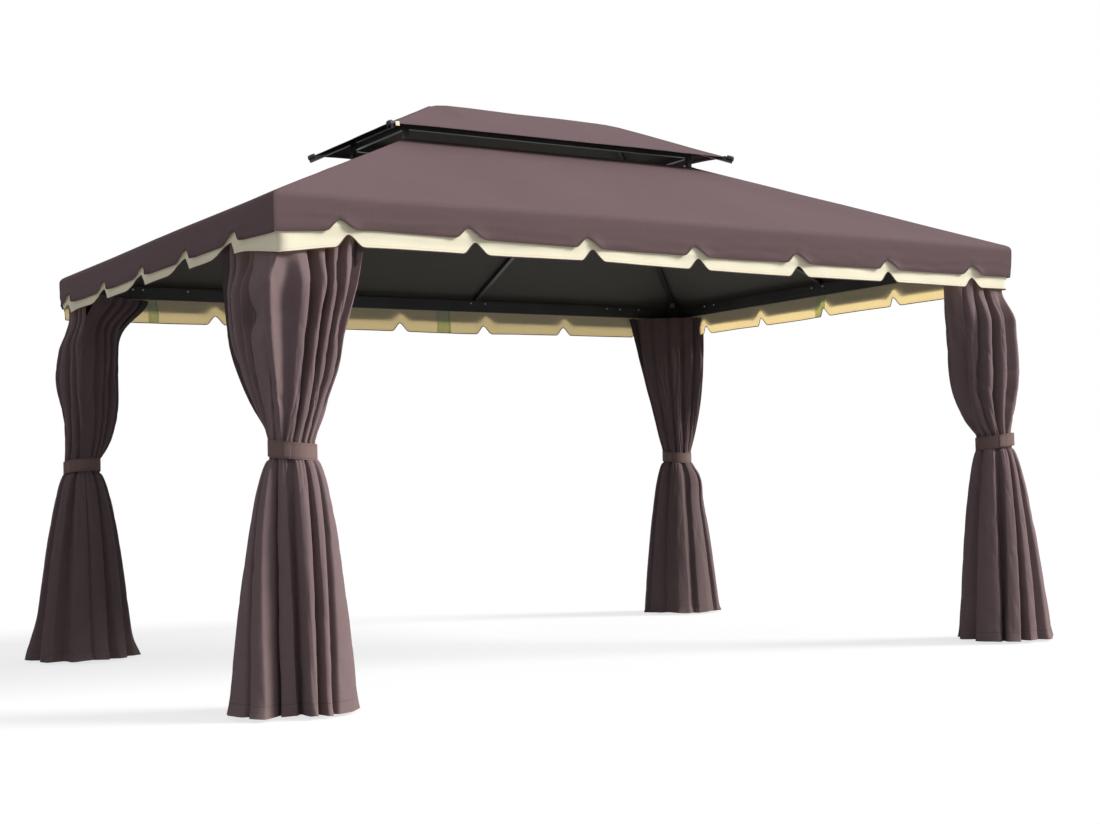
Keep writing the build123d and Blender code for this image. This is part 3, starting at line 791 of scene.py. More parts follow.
# upper folds: place round the post, crest width, stand-off, depth of the valley after it, angle
# at the tie; a place is negative on the side rail, positive on the other, and past "fold" it is on
# the way back inside the post
# lower folds: angle at the tie, angle at the hem, crest width in degrees, radius at the hem,
# radius of the valley after it
# pulls: angle at the tie, height, reach along the cloth, reach in height, direction, distance
# dents: angle at the tie, height, reach along the cloth, reach in height, depth
# slack: how late the cloth draws in to the tie, at its side edge, the post, the fold and inside
# shift: how far the lower part leans, in the corner's own inward axes; trimLow: the trim's hem
curtains = {
    "front_left": {
        "signs": (-1, -1), "trimLow": 1.806, "shift": (0.016, -0.007), "start": 100, "end": 474,
        "side": 0.550, "fold": 0.392, "slack": (3.1, 2.0, 1.12, 1.8), "seed": 3, "flare": 0.0,
        "spread": 0.55,
        "upper": (
            (-0.515, 0.030, 0.020, 0.040, 106), (-0.445, 0.050, 0.034, 0.056, 128),
            (-0.300, 0.016, 0.050, 0.004, 156), (-0.165, 0.190, 0.034, -0.016, 184),
            (-0.018, 0.024, 0.074, 0.068, 212), (0.100, 0.046, 0.066, 0.052, 240),
            (0.188, 0.030, 0.056, 0.046, 264), (0.250, 0.022, 0.048, 0.040, 284),
            (0.312, 0.020, 0.042, 0.026, 302), (0.392, 0.014, 0.026, 0.020, 326),
            (0.480, 0.050, 0.020, 0.020, 354), (0.570, 0.050, 0.020, 0.020, 382),
            (0.670, 0.050, 0.020, 0.020, 410), (0.780, 0.050, 0.020, 0.020, 434),
            (0.900, 0.050, 0.012, 0.010, 458),
        ),
        "lower": (
            (114, 112, 18, 0.250, 0.165), (146, 154, 22, 0.250, 0.236),
            (170, 188, 24, 0.252, 0.214), (190, 216, 16, 0.258, 0.105),
            (222, 241, 24, 0.178, 0.110), (266, 265, 6, 0.250, 0.140), (292, 280, 6, 0.248, 0.140),
            (322, 309, 42, 0.252, 0.180), (362, 362, 22, 0.245, 0.170),
            (396, 396, 22, 0.240, 0.165), (428, 430, 22, 0.245, 0.170),
            (456, 458, 14, 0.245, 0.170),
        ),
        "dents": (
            (178, 1.55, 0.030, 0.06, 0.030), (196, 1.36, 0.025, 0.13, 0.016),
            (236, 0.90, 0.02, 0.04, 0.008),
        ),
        "strap": (240, 352), "pulls": ((310, 1.34, 0.05, 0.10, 330, 0.018),),
    },
    "front_right": {
        "signs": (1, -1), "trimLow": 1.786, "shift": (0.016, 0.017), "start": 112, "end": 484,
        "side": 0.330, "fold": 0.440, "slack": (6.0, 6.5, 4.6, 3.0), "seed": 7, "flare": 0.0,
        "spread": 0.58,
        "upper": (
            (-0.290, 0.030, 0.055, 0.040, 134), (-0.225, 0.036, 0.062, 0.050, 166),
            (-0.150, 0.044, 0.055, 0.045, 198), (-0.070, 0.040, 0.058, 0.045, 226),
            (0.000, 0.034, 0.062, 0.058, 252), (0.085, 0.034, 0.064, 0.058, 280),
            (0.165, 0.045, 0.052, 0.024, 306), (0.245, 0.060, 0.022, 0.008, 332),
            (0.340, 0.080, 0.004, 0.004, 358), (0.440, 0.014, 0.006, 0.020, 388),
            (0.540, 0.050, 0.015, 0.020, 410), (0.640, 0.050, 0.015, 0.020, 430),
            (0.740, 0.050, 0.015, 0.020, 448), (0.860, 0.060, 0.010, 0.010, 466),
        ),
        "lower": (
            (130, 124, 18, 0.225, 0.155), (166, 160, 14, 0.235, 0.160),
            (200, 204, 16, 0.250, 0.165), (234, 243, 24, 0.254, 0.165),
            (260, 276, 14, 0.236, 0.150), (285, 302, 18, 0.246, 0.140),
            (332, 334, 34, 0.246, 0.165), (384, 384, 20, 0.228, 0.160),
            (424, 424, 22, 0.230, 0.160), (460, 460, 18, 0.235, 0.160),
        ),
        "dents": ((330, 1.35, 0.03, 0.15, 0.012),), "strap": (312, 206),
        "pulls": (
            (400, 1.44, 0.12, 0.42, 136, 0.24), (364, 1.36, 0.03, 0.25, 195, 0.05),
            (214, 1.30, 0.13, 0.17, 226, 0.035), (200, 0.02, 0.05, 0.10, 222, 0.015),
        ),
    },
    "back_left": {
        "signs": (-1, 1), "trimLow": 1.790, "shift": (0.018, 0.005), "start": 92, "end": 464,
        "side": 0.320, "fold": 0.275, "slack": (3.0, 3.2, 5.6, 3.4), "seed": 12, "flare": 0.17,
        "spread": 0.58,
        "upper": (
            (-0.285, 0.040, 0.030, 0.050, 106), (-0.205, 0.040, 0.040, 0.045, 136),
            (-0.115, 0.060, 0.045, 0.030, 168), (-0.010, 0.050, 0.040, 0.040, 208),
            (0.070, 0.040, 0.030, 0.040, 252), (0.130, 0.040, 0.030, 0.040, 290),
            (0.190, 0.036, 0.030, 0.040, 324), (0.275, 0.014, 0.004, 0.020, 366),
            (0.360, 0.040, 0.018, 0.012, 386), (0.440, 0.040, 0.020, 0.012, 406),
            (0.520, 0.040, 0.018, 0.012, 426), (0.610, 0.050, 0.010, 0.010, 446),
        ),
        "lower": (
            (108, 108, 20, 0.262, 0.190), (148, 152, 20, 0.262, 0.180),
            (184, 194, 14, 0.250, 0.170), (222, 232, 14, 0.240, 0.165),
            (262, 268, 16, 0.232, 0.160), (300, 306, 16, 0.240, 0.160),
            (340, 346, 20, 0.256, 0.190), (376, 380, 16, 0.262, 0.200),
            (410, 412, 18, 0.255, 0.200), (442, 442, 16, 0.255, 0.195),
        ),
        "dents": (), "strap": (150, 40),
        "pulls": (
            (200, 1.48, 0.10, 0.16, 195, 0.030), (190, 0.0, 0.04, 0.16, 190, 0.045),
            (366, 0.0, 0.04, 0.08, 10, 0.03),
        ),
    },
    "back_right": {
        "signs": (1, 1), "trimLow": 1.784, "shift": (0.0, 0.0), "start": 130, "end": 502,
        "side": 0.270, "fold": 0.365, "slack": (2.8, 3.0, 1.0, 1.5), "seed": 18, "flare": 0.0,
        "spread": 0.55,
        "upper": (
            (-0.235, 0.036, 0.040, 0.040, 138), (-0.170, 0.036, 0.040, 0.040, 156),
            (-0.105, 0.040, 0.040, 0.040, 176), (-0.015, 0.050, 0.045, 0.040, 206),
            (0.070, 0.044, 0.040, 0.040, 244), (0.150, 0.044, 0.040, 0.040, 274),
            (0.230, 0.040, 0.035, 0.040, 298), (0.300, 0.036, 0.020, 0.030, 314),
            (0.365, 0.012, 0.004, 0.008, 330), (0.460, 0.060, 0.006, 0.006, 362),
            (0.560, 0.060, 0.010, 0.008, 396), (0.660, 0.050, 0.012, 0.010, 430),
            (0.750, 0.050, 0.016, 0.010, 464), (0.815, 0.030, 0.010, 0.010, 486),
        ),
        "lower": (
            (146, 146, 22, 0.258, 0.190), (196, 196, 24, 0.240, 0.175),
            (244, 244, 24, 0.240, 0.175), (292, 294, 22, 0.238, 0.190),
            (332, 334, 18, 0.242, 0.205), (366, 368, 26, 0.232, 0.205),
            (412, 412, 34, 0.232, 0.208), (460, 460, 34, 0.240, 0.205),
            (486, 490, 12, 0.255, 0.200),
        ),
        "dents": (), "strap": (20, 130), "pulls": ((478, 0.86, 0.09, 0.10, 140, 0.022),),
    },
}


def fromPost(signs, a, b):  # from a corner's own inward axes to the scene's x and y
    return signs[0] * (curtain["postX"] - a), signs[1] * (curtain["postY"] - b)


def polar(radius, turn):
    return np.column_stack([radius * np.cos(turn), radius * np.sin(turn)])


def aroundPost(s, offset, plan, reach):  # a point on the cloth's way round the post
    fold, side, rail = plan["fold"], plan["side"], curtain["rail"]
    nearPost = ease((curtain["postReach"] - np.abs(s)) / curtain["postEase"])
    outside = np.maximum(offset, -curtain["postClear"] * nearPost - 0.2 * (1 - nearPost))
    turn = math.radians(225) + math.radians(45) * np.clip(s / curtain["cornerTurn"], -1, 1)
    a = rail + np.maximum(s, 0) * reach / fold + np.cos(turn) * outside
    b = rail + np.maximum(-s, 0) + np.sin(turn) * outside
    length = math.hypot(reach, side)
    back = (s - fold) / length
    innerA = rail + reach * (1 - back) + side / length * offset
    innerB = rail + side * back + reach / length * offset
    return np.where(s > fold, innerA, a), np.where(s > fold, innerB, b)


def splineWeights(count, u, crisp):  # cubic B-spline with some of the plain polygon mixed in
    u = np.clip(u, 0, count - 1 - 1e-9)
    first = np.floor(u).astype(int)
    t = u - first
    parts = [(1 - t) ** 3, 3 * t**3 - 6 * t**2 + 4, -3 * t**3 + 3 * t**2 + 3 * t + 1, t**3]
    straight = [0 * t, 1 - t, t, 0 * t]
    weights = np.zeros((len(u), count))
    rows = np.arange(len(u))
    for k, part in enumerate(parts):
        part = part / 6 * (1 - crisp) + straight[k] * crisp
        spot = first - 1 + k
        np.add.at(weights, (rows, np.clip(spot, 0, count - 1)), part)
        for outside, end, inner in ((spot < 0, 0, 1), (spot > count - 1, count - 1, count - 2)):
            np.add.at(weights, (rows[outside], end), part[outside])
            np.add.at(weights, (rows[outside], inner), -part[outside])
    return weights


def crestHalves(angles, start, end):  # half the angle that each crest takes at the tie
    edges = np.concatenate([[start], (angles[1:] + angles[:-1]) / 2, [end]])
    return curtain["crestShare"] * np.diff(edges)


def upperStations(plan):  # angle at the tie, place, stand-off, stand-off at the rail, tie radius
    folds = np.array(plan["upper"], float)
    halves = crestHalves(folds[:, 4], plan["start"], plan["end"])
    radius, valleyRadius = curtain["crestRadius"], curtain["valleyRadius"]
    rows = [(plan["start"], -plan["side"], 0.0, -0.01, radius - 0.008)]
    for i, (s, width, out, valley, angle) in enumerate(folds):
        rows.append((angle - halves[i], s - width / 2, out, -0.002, radius))
        if width > 0.1:
            for share in (-0.2, 0.2):
                inside = angle + halves[i] * share, s + width * share
                rows.append((*inside, out, -0.002, radius - 0.003))
        rows.append((angle + halves[i], s + width / 2, out, -0.002, radius))
        if i + 1 < len(folds):
            nextLow = folds[i + 1][0] - folds[i + 1][1] / 2
            nextAngle = folds[i + 1][4] - halves[i + 1]
            middle = (angle + halves[i] + nextAngle) / 2, (s + width / 2 + nextLow) / 2
            rows.append((*middle, -valley, -valley * 1.2 - 0.012, valleyRadius))
    last = plan["fold"] + math.hypot(plan["fold"], plan["side"]) + 0.03
    rows.append((plan["end"], last, 0.004, 0.004, radius + 0.003))
    return np.array(rows).T


def lowerStations(plan):  # angle at the tie, angle at the hem, hem radius, tie radius
    folds = np.array(plan["lower"], float)
    halves = crestHalves(folds[:, 0], plan["start"], plan["end"])
    radius, valleyRadius = curtain["crestRadius"], curtain["valleyRadius"]
    rows = [(plan["start"], plan["start"] - 6, 0.2, radius - 0.012)]
    for i, (angle, hemAngle, width, hemRadius, hemValley) in enumerate(folds):
        rows.append((angle - halves[i], hemAngle - width / 2, hemRadius, radius))
        if width > 30:
            rows.append((angle, hemAngle, hemRadius + 0.004, radius))
        rows.append((angle + halves[i], hemAngle + width / 2, hemRadius, radius))
        if i + 1 < len(folds):
            nextAngle = folds[i + 1][0] - halves[i + 1]
            nextHem = folds[i + 1][1] - folds[i + 1][2] / 2
            middle = (angle + halves[i] + nextAngle) / 2, (hemAngle + width / 2 + nextHem) / 2
            rows.append((*middle, hemValley, valleyRadius))
    rows.append((plan["end"], plan["end"] + 8, 0.2, radius - 0.012))
    return np.array(rows).T


def sampleStations(angles, wanted):  # spline weights at wanted tie angles
    dense = np.linspace(0, len(angles) - 1, 2400)
    found = splineWeights(len(angles), dense, curtain["crisp"]) @ angles
    spots = np.interp(wanted, np.maximum.accumulate(found), dense)
    return splineWeights(len(angles), spots, curtain["crisp"])


def curtainSurface(plan):
    look, seed = curtain, plan["seed"]
    share = np.linspace(0, 1, look["columns"])
    wanted = plan["start"] + (plan["end"] - plan["start"]) * share
    angles, s, out, topOut, tieRadius = upperStations(plan)
    upper = sampleStations(angles, wanted)
    lowAngles, hemAngles, hemRadii, lowTieRadius = lowerStations(plan)
    lower = sampleStations(lowAngles, wanted)
    side, other, edge, inside = plan["slack"]
    marks = (-plan["side"], 0, plan["fold"], plan["fold"] + 0.12, s[-1] - 0.1, s[-1])
    slack = np.interp(s, marks, (side, other, edge, inside, inside, side))
    lowTurn, hemTurn = np.radians(lowAngles), np.radians(hemAngles)
    tiePlace = polar(tieRadius, np.radians(angles))
    order, lowOrder = (np.arange(len(x)) * look["wanderStep"] for x in (s, lowAngles))
    rows, heights = [], []
    steps = np.linspace(0, 1, look["rowsAbove"])
    steps = 0.55 * steps + 0.45 * (1 - (1 - steps) ** 2.2)
    for t in 1 - steps:  # from the rails down to the tie
        z = look["tieTop"] + t * (look["top"] - look["tieTop"])
        swell = float(ease((plan["trimLow"] - z) / look["swellReach"]))
        stray = look["wander"] * (swell * float(ease(t / 0.2)))
        along = s + stray * ripple(order, z * 1.1 + 0 * s, seed + 50, 2)
        offset = topOut + (out - topOut) * swell
        offset = offset + stray * 1.2 * ripple(order, z * 1.2 + 0 * s, seed + 51, 2)
        reach = plan["fold"] + plan["flare"] * bell(look["top"] - z, look["flareReach"])
        free = np.column_stack(aroundPost(along, offset, plan, reach))
        rows.append(upper @ (tiePlace + (free - tiePlace) * (1 - (1 - t) ** slack)[:, None]))
        heights.append(np.full(look["columns"], z))
    last, first = rows[-1], lower @ polar(lowTieRadius, lowTurn)
    for t in np.linspace(0, 1, look["rowsBand"] + 2)[1:-1]:  # under the tie
        rows.append(last + (first - last) * ease(t))
        z = look["tieTop"] + (look["tieLow"] - look["tieTop"]) * t
        heights.append(np.full(look["columns"], z))
    hem = look["hem"] + look["hemWave"] * (1 + ripple(share * 5, 0 * share, seed, 2))
    steps = np.linspace(0, 1, look["rowsBelow"])
    for t in 0.6 * steps + 0.4 * steps**1.8:  # from the tie down to the hem
        free = float(ease(t / 0.25))
        down = t * 0.8 + 0 * lowOrder
        late = t ** (plan["spread"] + look["valleyDelay"])  # valleys open later than crests
        grow = np.where(hemRadii < look["valleyUnder"], late, t ** plan["spread"])
        radius = lowTieRadius + (hemRadii - lowTieRadius) * grow
        radius = radius + 0.5 * look["wander"] * free * ripple(lowOrder, down, seed + 52, 2)
        bearing = lowTurn + (hemTurn - lowTurn) * t**0.8
        bearing = bearing + look["turnWander"] * free * ripple(lowOrder, down, seed + 53, 2)
        rows.append(lower @ polar(radius, bearing))
        heights.append(look["tieLow"] + (hem - look["tieLow"]) * t)
    return np.array(rows), np.array(heights), share, hem


def surfaceNormals(points):
    return unit(np.cross(np.gradient(points, axis=0), np.gradient(points, axis=1)))


def crease(x, y, seed):  # sharp wandering lines between smooth fields, about -1 to 0.4
    return 0.4 - 1.4 * np.exp(-np.abs(ripple(x, y, seed, 2)) * 5)


def softSpot(c, z, place, height, wide, tall):  # 1 at a spot on the cloth, 0 away from it
    return np.exp(-((c - place) / wide) ** 2 - ((z - height) / tall) ** 2)


def makeCurtain(name, plan):
    look, seed = curtain, plan["seed"]
    flat, z, share, hem = curtainSurface(plan)
    c, span = share[None] * np.ones_like(z), plan["end"] - plan["start"]
    nearTie = np.minimum(np.abs(z - look["tieTop"]), np.abs(z - look["tieLow"]))
    shift = ease((1.5 - z) / 0.4) * (1 - 0.4 * ease((0.9 - z) / 0.9))
    flat = flat + shift[..., None] * np.array(plan["shift"])
    for angle, height, wide, tall, toward, distance in plan["pulls"]:
        pull = softSpot(c, z, (angle - plan["start"]) / span, height, wide, tall)
        pull = ease(nearTie / 0.08) * distance * pull
        toward = math.radians(toward)
        flat = flat + pull[..., None] * np.array([math.cos(toward), math.sin(toward)])
    points = np.dstack([flat, z])
    normals = surfaceNormals(points)

    # wrinkles, held flat at the tie and under the trim
    inBand = (z < look["tieTop"] + 0.002) & (z > look["tieLow"] - 0.002)
    free = ease(nearTie / 0.12) * ease((plan["trimLow"] + 0.01 - z) / 0.10)
    wrinkle = look["fineWrinkle"] * ripple(c * 9, z * 0.9, seed + 40, 3)
    for depth, across, slant, down, own in look["creases"]:
        wrinkle += depth * crease(c * across + z * slant, z * down, seed + own)
    patches = ease(ripple(c * 4, z * 3, seed + 43, 1) + 0.6)
    wrinkle += look["crossCrease"] * crease(c * 11, z * 4.0, seed + 42) * patches
    wrinkle = wrinkle * (0.12 + 0.88 * free) * np.where(z < look["tieLow"], 0.55, 1.0)
    wrinkle = wrinkle * np.where(inBand, 0.3, 1.0)
    pucker = 2 * math.pi * look["puckers"] * c + 3 * ripple(c * 5, z * 0, seed + 44, 2)
    pucker = np.sin(pucker)
    topPucker = look["topPucker"] * pucker * np.exp(-(look["top"] - z) / 0.02)
    wrinkle += look["pucker"] * pucker * np.exp(-nearTie / 0.045) + topPucker
    for angle, height, wide, tall, depth in plan["dents"]:
        wrinkle -= depth * softSpot(c, z, (angle - plan["start"]) / span, height, wide, tall)
    points = points + normals * wrinkle[..., None]
    swing = ease(0.5 + ripple(c * 6, 0 * z, seed + 45, 2))
    kick = look["kick"] * np.exp(-np.maximum(z - hem[None], 0) / 0.03) * swing
    points[..., :2] *= (1 + kick / 0.2)[..., None]
    points[..., 2] = np.minimum(points[..., 2], look["top"])

    run = np.linalg.norm(np.diff(points, axis=1), axis=2)
    width = np.concatenate([[0.0], np.cumsum(run.max(axis=0))])
    signs = plan["signs"]
    world = np.dstack([*fromPost(signs, points[..., 0], points[..., 1]), points[..., 2]])
    # a dark line 20 mm in from each side edge, in the painted seam shade
    sideSeam = 0.6 * bell(np.minimum(width, width[-1] - width) - 0.02, 0.002)
    masks = {"fromEdge": z - hem[None], "seam": sideSeam}
    # The back curtains get the darker copy of the curtain cloth: painted shade
    cloth = paintedShadeCurtainCloth if signs[1] > 0 else curtainCloth
    piece = gridPiece("curtain_cloth_" + name, world, cutPlan(width, z), masks, cloth,
                      flip=signs[0] * signs[1] < 0, softAngle=80)
    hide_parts("curtain_" + name)
    return points


# Tie bands with their hook-and-loop end; lifts are in thicknesses of the band
tie = {
    "height": 0.066, "thick": 0.0024, "gap": 0.0012, "columns": 144, "tilt": 0.011,
    "least": 0.072, "strapLift": 1.7, "pad": 0.026, "padHeight": 0.054, "padLift": 2.6,
    # the band's section: off in thicknesses, up in half heights
    "section": ((-0.5, 1), (0.5, 1), (0.62, 0.8), (0.62, 0), (0.62, -0.8), (0.5, -1),
                (-0.5, -1), (-0.5, 1)),
}


def bandPiece(name, line, outward, half, thick, material, closed=False):
    sizes = np.ones(len(line))
    run = np.concatenate([[0], np.cumsum(np.linalg.norm(np.diff(line, axis=0), axis=1))])
    if closed:
        run = np.append(run, run[-1] + np.linalg.norm(line[0] - line[-1]))
    else:
        sizes[0] = sizes[-1] = 0.2
    rows, upward = [], np.array([0, 0, 1]) * half
    for off, up in tie["section"]:
        rows.append(line + outward * (thick * off * sizes)[:, None] + upward * up)
    across = np.array([half * up for off, up in tie["section"]])[:, None]
    masks = {"fromEdge": half - np.abs(across), "seam": 0.0}
    return gridPiece(name, np.array(rows), cutPlan(run, across), masks, material,
                     closed=closed, softAngle=35)


def makeTie(name, plan, points):
    look, signs = tie, plan["signs"]
    middle = (curtain["tieTop"] + curtain["tieLow"]) / 2
    rows = np.abs(points[:, :, 2].mean(axis=1) - middle) < look["height"] / 2 + 0.002
    near = points[rows].reshape(-1, 3)
    bearing = np.degrees(np.arctan2(near[:, 1], near[:, 0])) % 360
    radius = np.hypot(near[:, 0], near[:, 1])
    angles = np.arange(look["columns"]) * 360 / look["columns"]
    outer = []
    for angle in angles:  # how far the gathered cloth reaches on each side
        away = np.abs((bearing - angle + 180) % 360 - 180)
        outer.append(max(radius[away < 9].max(initial=0.0), look["least"]))
    outer = np.array(outer)
    smooth = sum(np.roll(outer, k) for k in range(-5, 6)) / 11
    outer = np.maximum(smooth, outer - 0.0015) + look["gap"]

    def bandLine(first, last, count, lift, closed=False):
        turn = np.linspace(first, last, count, endpoint=not closed)
        reach = np.interp(turn % 360, np.append(angles, 360), np.append(outer, outer[0])) + lift
        tilt = look["tilt"] * np.sin(np.radians(turn - plan["strap"][0]))
        a, b = reach * np.cos(np.radians(turn)), reach * np.sin(np.radians(turn))
        line = np.column_stack([*fromPost(signs, a, b), middle - tilt])
        out = unit(np.column_stack([-signs[0] * a, -signs[1] * b, 0 * a]))
        isBackward = (signs[0] * signs[1] < 0) ^ (last < first)
        return (line[::-1], out[::-1]) if isBackward else (line, out)

    thick, half = look["thick"], look["height"] / 2
    ring = bandLine(0, 360, look["columns"], thick / 2, closed=True)
    band = bandPiece("tie_band_cloth_" + name, *ring, half, thick, tieCloth, closed=True)
    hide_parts("tie_band_" + name)
    first, last = plan["strap"]
    strap = bandLine(first, last, 48, thick * look["strapLift"])
    bandPiece("tie_strap_" + name, *strap, half - 0.0015, thick, tieCloth)
    sign = 1 if last > first else -1
    padEnd = first + sign * math.degrees(look["pad"] / 0.1)
    pad = bandLine(first - sign * 1.2, padEnd, 12, thick * look["padLift"])
    bandPiece("tie_pad_" + name, *pad, look["padHeight"] / 2, thick * 0.7, padCloth)


for name, plan in curtains.items():
    makeTie(name, plan, makeCurtain(name, plan))

# Tape round the vent opening
ventProfile = [(0.0014, 0.020), (0.0014, 0.0), (0.0, -0.0022), (-0.0014, 0.0), (-0.0014, 0.020)]
ventEdge = canopyPoints[0]
downSlope = unit(canopyPoints[1] - ventEdge)
alongEdge = unit(np.roll(ventEdge, -1, 0) - np.roll(ventEdge, 1, 0))
faceOut = unit(np.cross(alongEdge, downSlope))
sweptPiece("vent_hem_tape", ventEdge, faceOut, downSlope, ventProfile, tapeCloth)

# Straps sewn down the inner face of the trim: side, first and last place along it
straps = {
    "gap": 0.0022,
    "spots": {
        "1": ("back", 1.480, 1.552), "2": ("back", -0.326, -0.224), "3": ("right", -0.040, 0.060),
    },
}
for label, (side, first, last) in straps["spots"].items():
    outward = np.array(sideWays[side][1], float)
    along = trimLoop["u"]
    chosen = (trimLoop["n"] @ outward > 0.5) & (along > first) & (along < last)
    patch = trimPoints[:, chosen] - outward * straps["gap"]
    width = along[chosen] - first
    masks = {"fromEdge": np.minimum(width, width[-1] - width), "seam": 0.0}
    cut = cutPlan(width, trimPoints[0, 0, 2] - patch[..., 2])
    gridPiece("trim_strap_" + label, patch, cut, masks, strapCloth)

# Screws on the inner faces of the beams, caps on the crown's ribs, gliders on the rails
fittings = {
    "screwLine": 1.9665, "beamX": 1.96, "beamY": 1.46,
    "longScrews": (-1.62, -1.564, -1.314, -0.55, -0.45, 0.45, 0.55, 1.436, 1.536, 1.68),
    "shortScrews": (-1.12, -1.02, -0.05, 0.05, 1.02, 1.12),
    "ribEnd": (1.004, 0.466, 2.560), "ribWay": (0.466, 0.466, -0.230),
    "gliderTop": 1.9148, "gliderStep": 0.058,
    "screw": ((0.0008, -0.001), (0.0055, -0.001), (0.0055, 0.0012), (0.0046, 0.0026),
              (0.0030, 0.0034), (0.0010, 0.0036)),
    "cap": ((0.0140, -0.028), (0.0152, -0.026), (0.0156, 0.002), (0.0138, 0.007),
            (0.0086, 0.0105), (0.0010, 0.0115)),
    "glider": ((0.0010, -0.0135), (0.0042, -0.0125), (0.0048, -0.0100), (0.0022, -0.0085),
               (0.0022, -0.0035), (0.0050, -0.0025), (0.0050, 0.0)),
}
spots, level = [], fittings["screwLine"]
for sign in (-1, 1):
    beamX, beamY = sign * fittings["beamX"], sign * fittings["beamY"]
    spots += [((x, beamY, level), (0, -sign, 0)) for x in fittings["longScrews"]]
    spots += [((beamX, y, level), (-sign, 0, 0)) for y in fittings["shortScrews"]]
turnedPiece("beam_screws", spots, fittings["screw"], zincSteel, 20)

spots = []
for signs in ((-1, -1, 1), (-1, 1, 1), (1, -1, 1), (1, 1, 1)):
    spots.append((np.multiply(signs, fittings["ribEnd"]), np.multiply(signs, fittings["ribWay"])))
turnedPiece("crown_rib_caps", spots, fittings["cap"], capPlastic, 16)

spots, rail = [], curtain["rail"]
for plan in curtains.values():
    for reach, isFront in ((plan["fold"], True), (plan["side"], False)):
        for k in range(1, int((reach - 0.03) / fittings["gliderStep"]) + 1):
            away = k * fittings["gliderStep"]
            x, y = fromPost(plan["signs"], *((away, rail) if isFront else (rail, away)))
            spots.append(((x, y, fittings["gliderTop"]), (0, 0, 1)))
turnedPiece("rail_gliders", spots, fittings["glider"], nylonWhite, 10)
print("fittings", len(spots), "gliders")

# Small cream tab that ties the crown cloth to a rib
crownTab = {
    "path": ((-0.958, -0.4585, 2.577), (-0.9575, -0.4600, 2.566), (-0.957, -0.4585, 2.556)),
    "section": ((-0.010, -0.001), (0.010, -0.001), (0.010, 0.001), (-0.010, 0.001)),
}
tabAcross, tabOut = np.tile((1.0, 0.0, 0.0), (3, 1)), np.tile((0.0, -1.0, 0.0), (3, 1))
sweptPiece("crown_corner_tab", np.array(crownTab["path"]), tabAcross, tabOut,
           crownTab["section"], trimCloth, closed=False)

# Camera where the photograph was taken from
view = {
    "place": (-4.458, -7.612, 0.852), "yaw": 0.5854, "pitch": 0.0471, "roll": -0.02654,
    "focalPixels": 1694.26, "centre": (625.0, 402.5), "photo": (1100, 824), "sensor": 36.0,
}
lens = bpy.data.cameras.new("photoLens")
camera = addObject("photoCamera", lens)
(wide, high), flat, yaw = view["photo"], math.cos(view["pitch"]), view["yaw"]
forward = Vector((flat * math.sin(yaw), flat * math.cos(yaw), math.sin(view["pitch"])))
right = forward.cross(Vector((0, 0, 1))).normalized()
up = right.cross(forward)
c, s = math.cos(view["roll"]), math.sin(view["roll"])
right, up = c * right + s * up, c * up - s * right
turned = Matrix((right, up, -forward)).transposed().to_4x4()
camera.matrix_world = Matrix.Translation(view["place"]) @ turned
lens.sensor_width = view["sensor"]
lens.lens = view["focalPixels"] / wide * lens.sensor_width
lens.shift_x = (wide / 2 - view["centre"][0]) / wide
lens.shift_y = (view["centre"][1] - high / 2) / wide
lens.clip_end = 200.0
bpy.context.scene.camera = camera

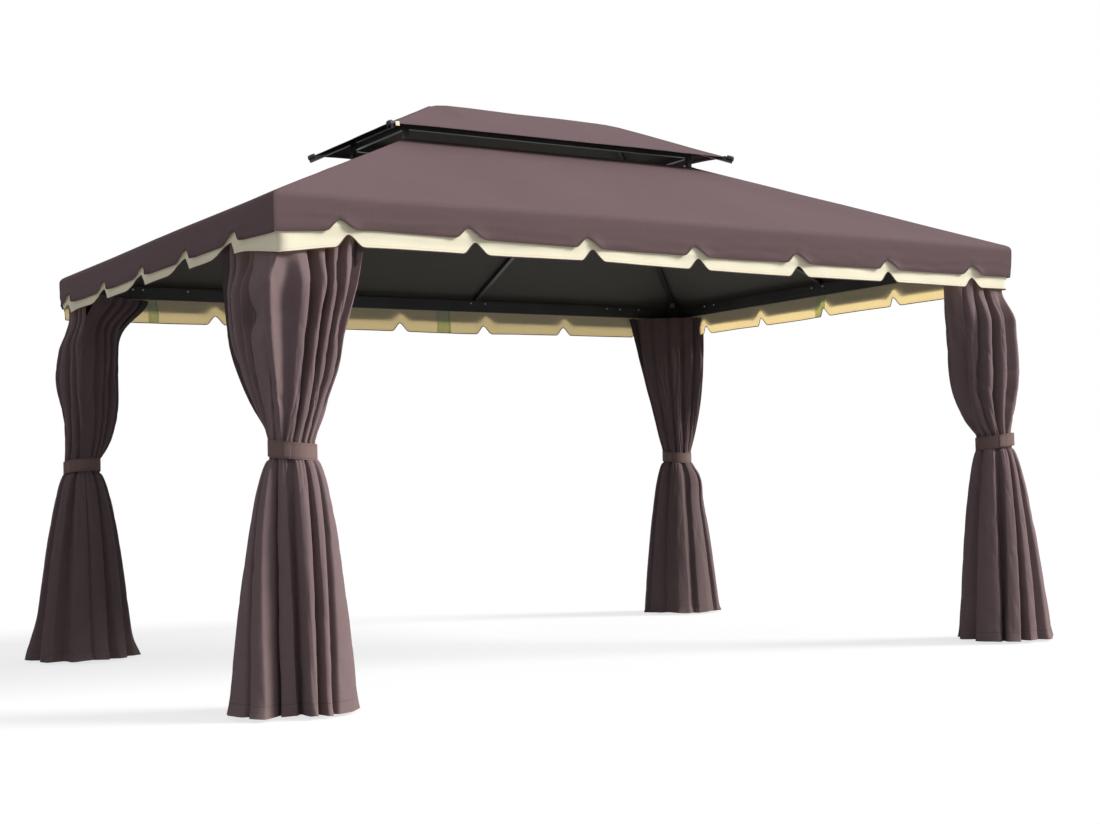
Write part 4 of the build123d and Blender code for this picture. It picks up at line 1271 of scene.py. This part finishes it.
# Soft studio light: a low key from the right and a pale sky brighter on that side
light = {
    "key": {"from": (0.70, -0.50, 0.48), "strength": 3.9, "angle": 22, "tint": (1.0, 0.98, 0.96)},
    "top": {"from": (0.2, -0.7, 0.70), "strength": 0.2, "angle": 50, "tint": (0.98, 0.98, 1.0)},
    "skyFrom": (0.72, -0.55, 0.42), "skyLow": 0.35, "skyHigh": 0.41,
    "skyTint": (0.95, 0.95, 1.05), "seenSky": (1.0, 1.0, 1.0, 1.0),
}
for name in ("key", "top"):
    look = light[name]
    lamp = bpy.data.lights.new(name + "Lamp", "SUN")
    lamp.energy = look["strength"]
    lamp.angle = math.radians(look["angle"])
    lamp.color = look["tint"]
    holder = addObject(name + "Lamp", lamp)
    holder.rotation_euler = Vector(look["from"]).to_track_quat("Z", "Y").to_euler()


def seenRays(tree):  # 1 for what the lens sees, also in a mirror or through glass
    path = put(tree, "ShaderNodeLightPath").outputs
    both = maths(tree, "MAXIMUM", path["Is Camera Ray"], path["Is Glossy Ray"])
    return maths(tree, "MAXIMUM", both, path["Is Transmission Ray"])


world = bpy.data.worlds.new("paleSky")
bpy.context.scene.world = world
world.use_nodes = True
sky = world.node_tree
background = sky.nodes["Background"]
way = put(sky, "ShaderNodeTexCoord").outputs["Generated"]
wires = {0: way, 1: light["skyFrom"]}
facing = put(sky, "ShaderNodeVectorMath", wires, operation="DOT_PRODUCT").outputs["Value"]
level = remap(sky, facing, -1.0, 1.0, light["skyLow"], light["skyHigh"])
tint = joinXYZ(sky, *(times(sky, level, share) for share in light["skyTint"]))
shown = blendColours(sky, seenRays(sky), tint, light["seenSky"])
sky.links.new(shown, background.inputs["Color"])
background.inputs["Strength"].default_value = 1.0

# White floor that shows pale to the lens and throws little light up
floorLook = {"reach": 60.0, "seenGrey": 0.30, "bounce": 0.27, "glow": 0.74}
floorMesh = bpy.data.meshes.new("floor")
reach = floorLook["reach"]
corners = [(-reach, -reach, 0), (reach, -reach, 0), (reach, reach, 0), (-reach, reach, 0)]
floorMesh.from_pydata(corners, [], [(0, 1, 2, 3)])
floor = addObject("floor", floorMesh)
floorMaterial, tree, shader, output = newMaterial("floorWhite")
seen = seenRays(tree)
bounce, pale = ((floorLook[key],) * 3 + (1.0,) for key in ("bounce", "seenGrey"))
tree.links.new(blendColours(tree, seen, bounce, pale), shader.inputs["Base Color"])
tree.links.new(times(tree, seen, floorLook["glow"]), shader.inputs["Emission Strength"])
shader.inputs["Roughness"].default_value = 1.0
shader.inputs["Specular IOR Level"].default_value = 0.0
shader.inputs["Emission Color"].default_value = (1.0, 1.0, 1.0, 1.0)
floorMesh.materials.append(floorMaterial)
bpy.context.scene.view_settings.view_transform = "Standard"
print("camera, light and floor ready")
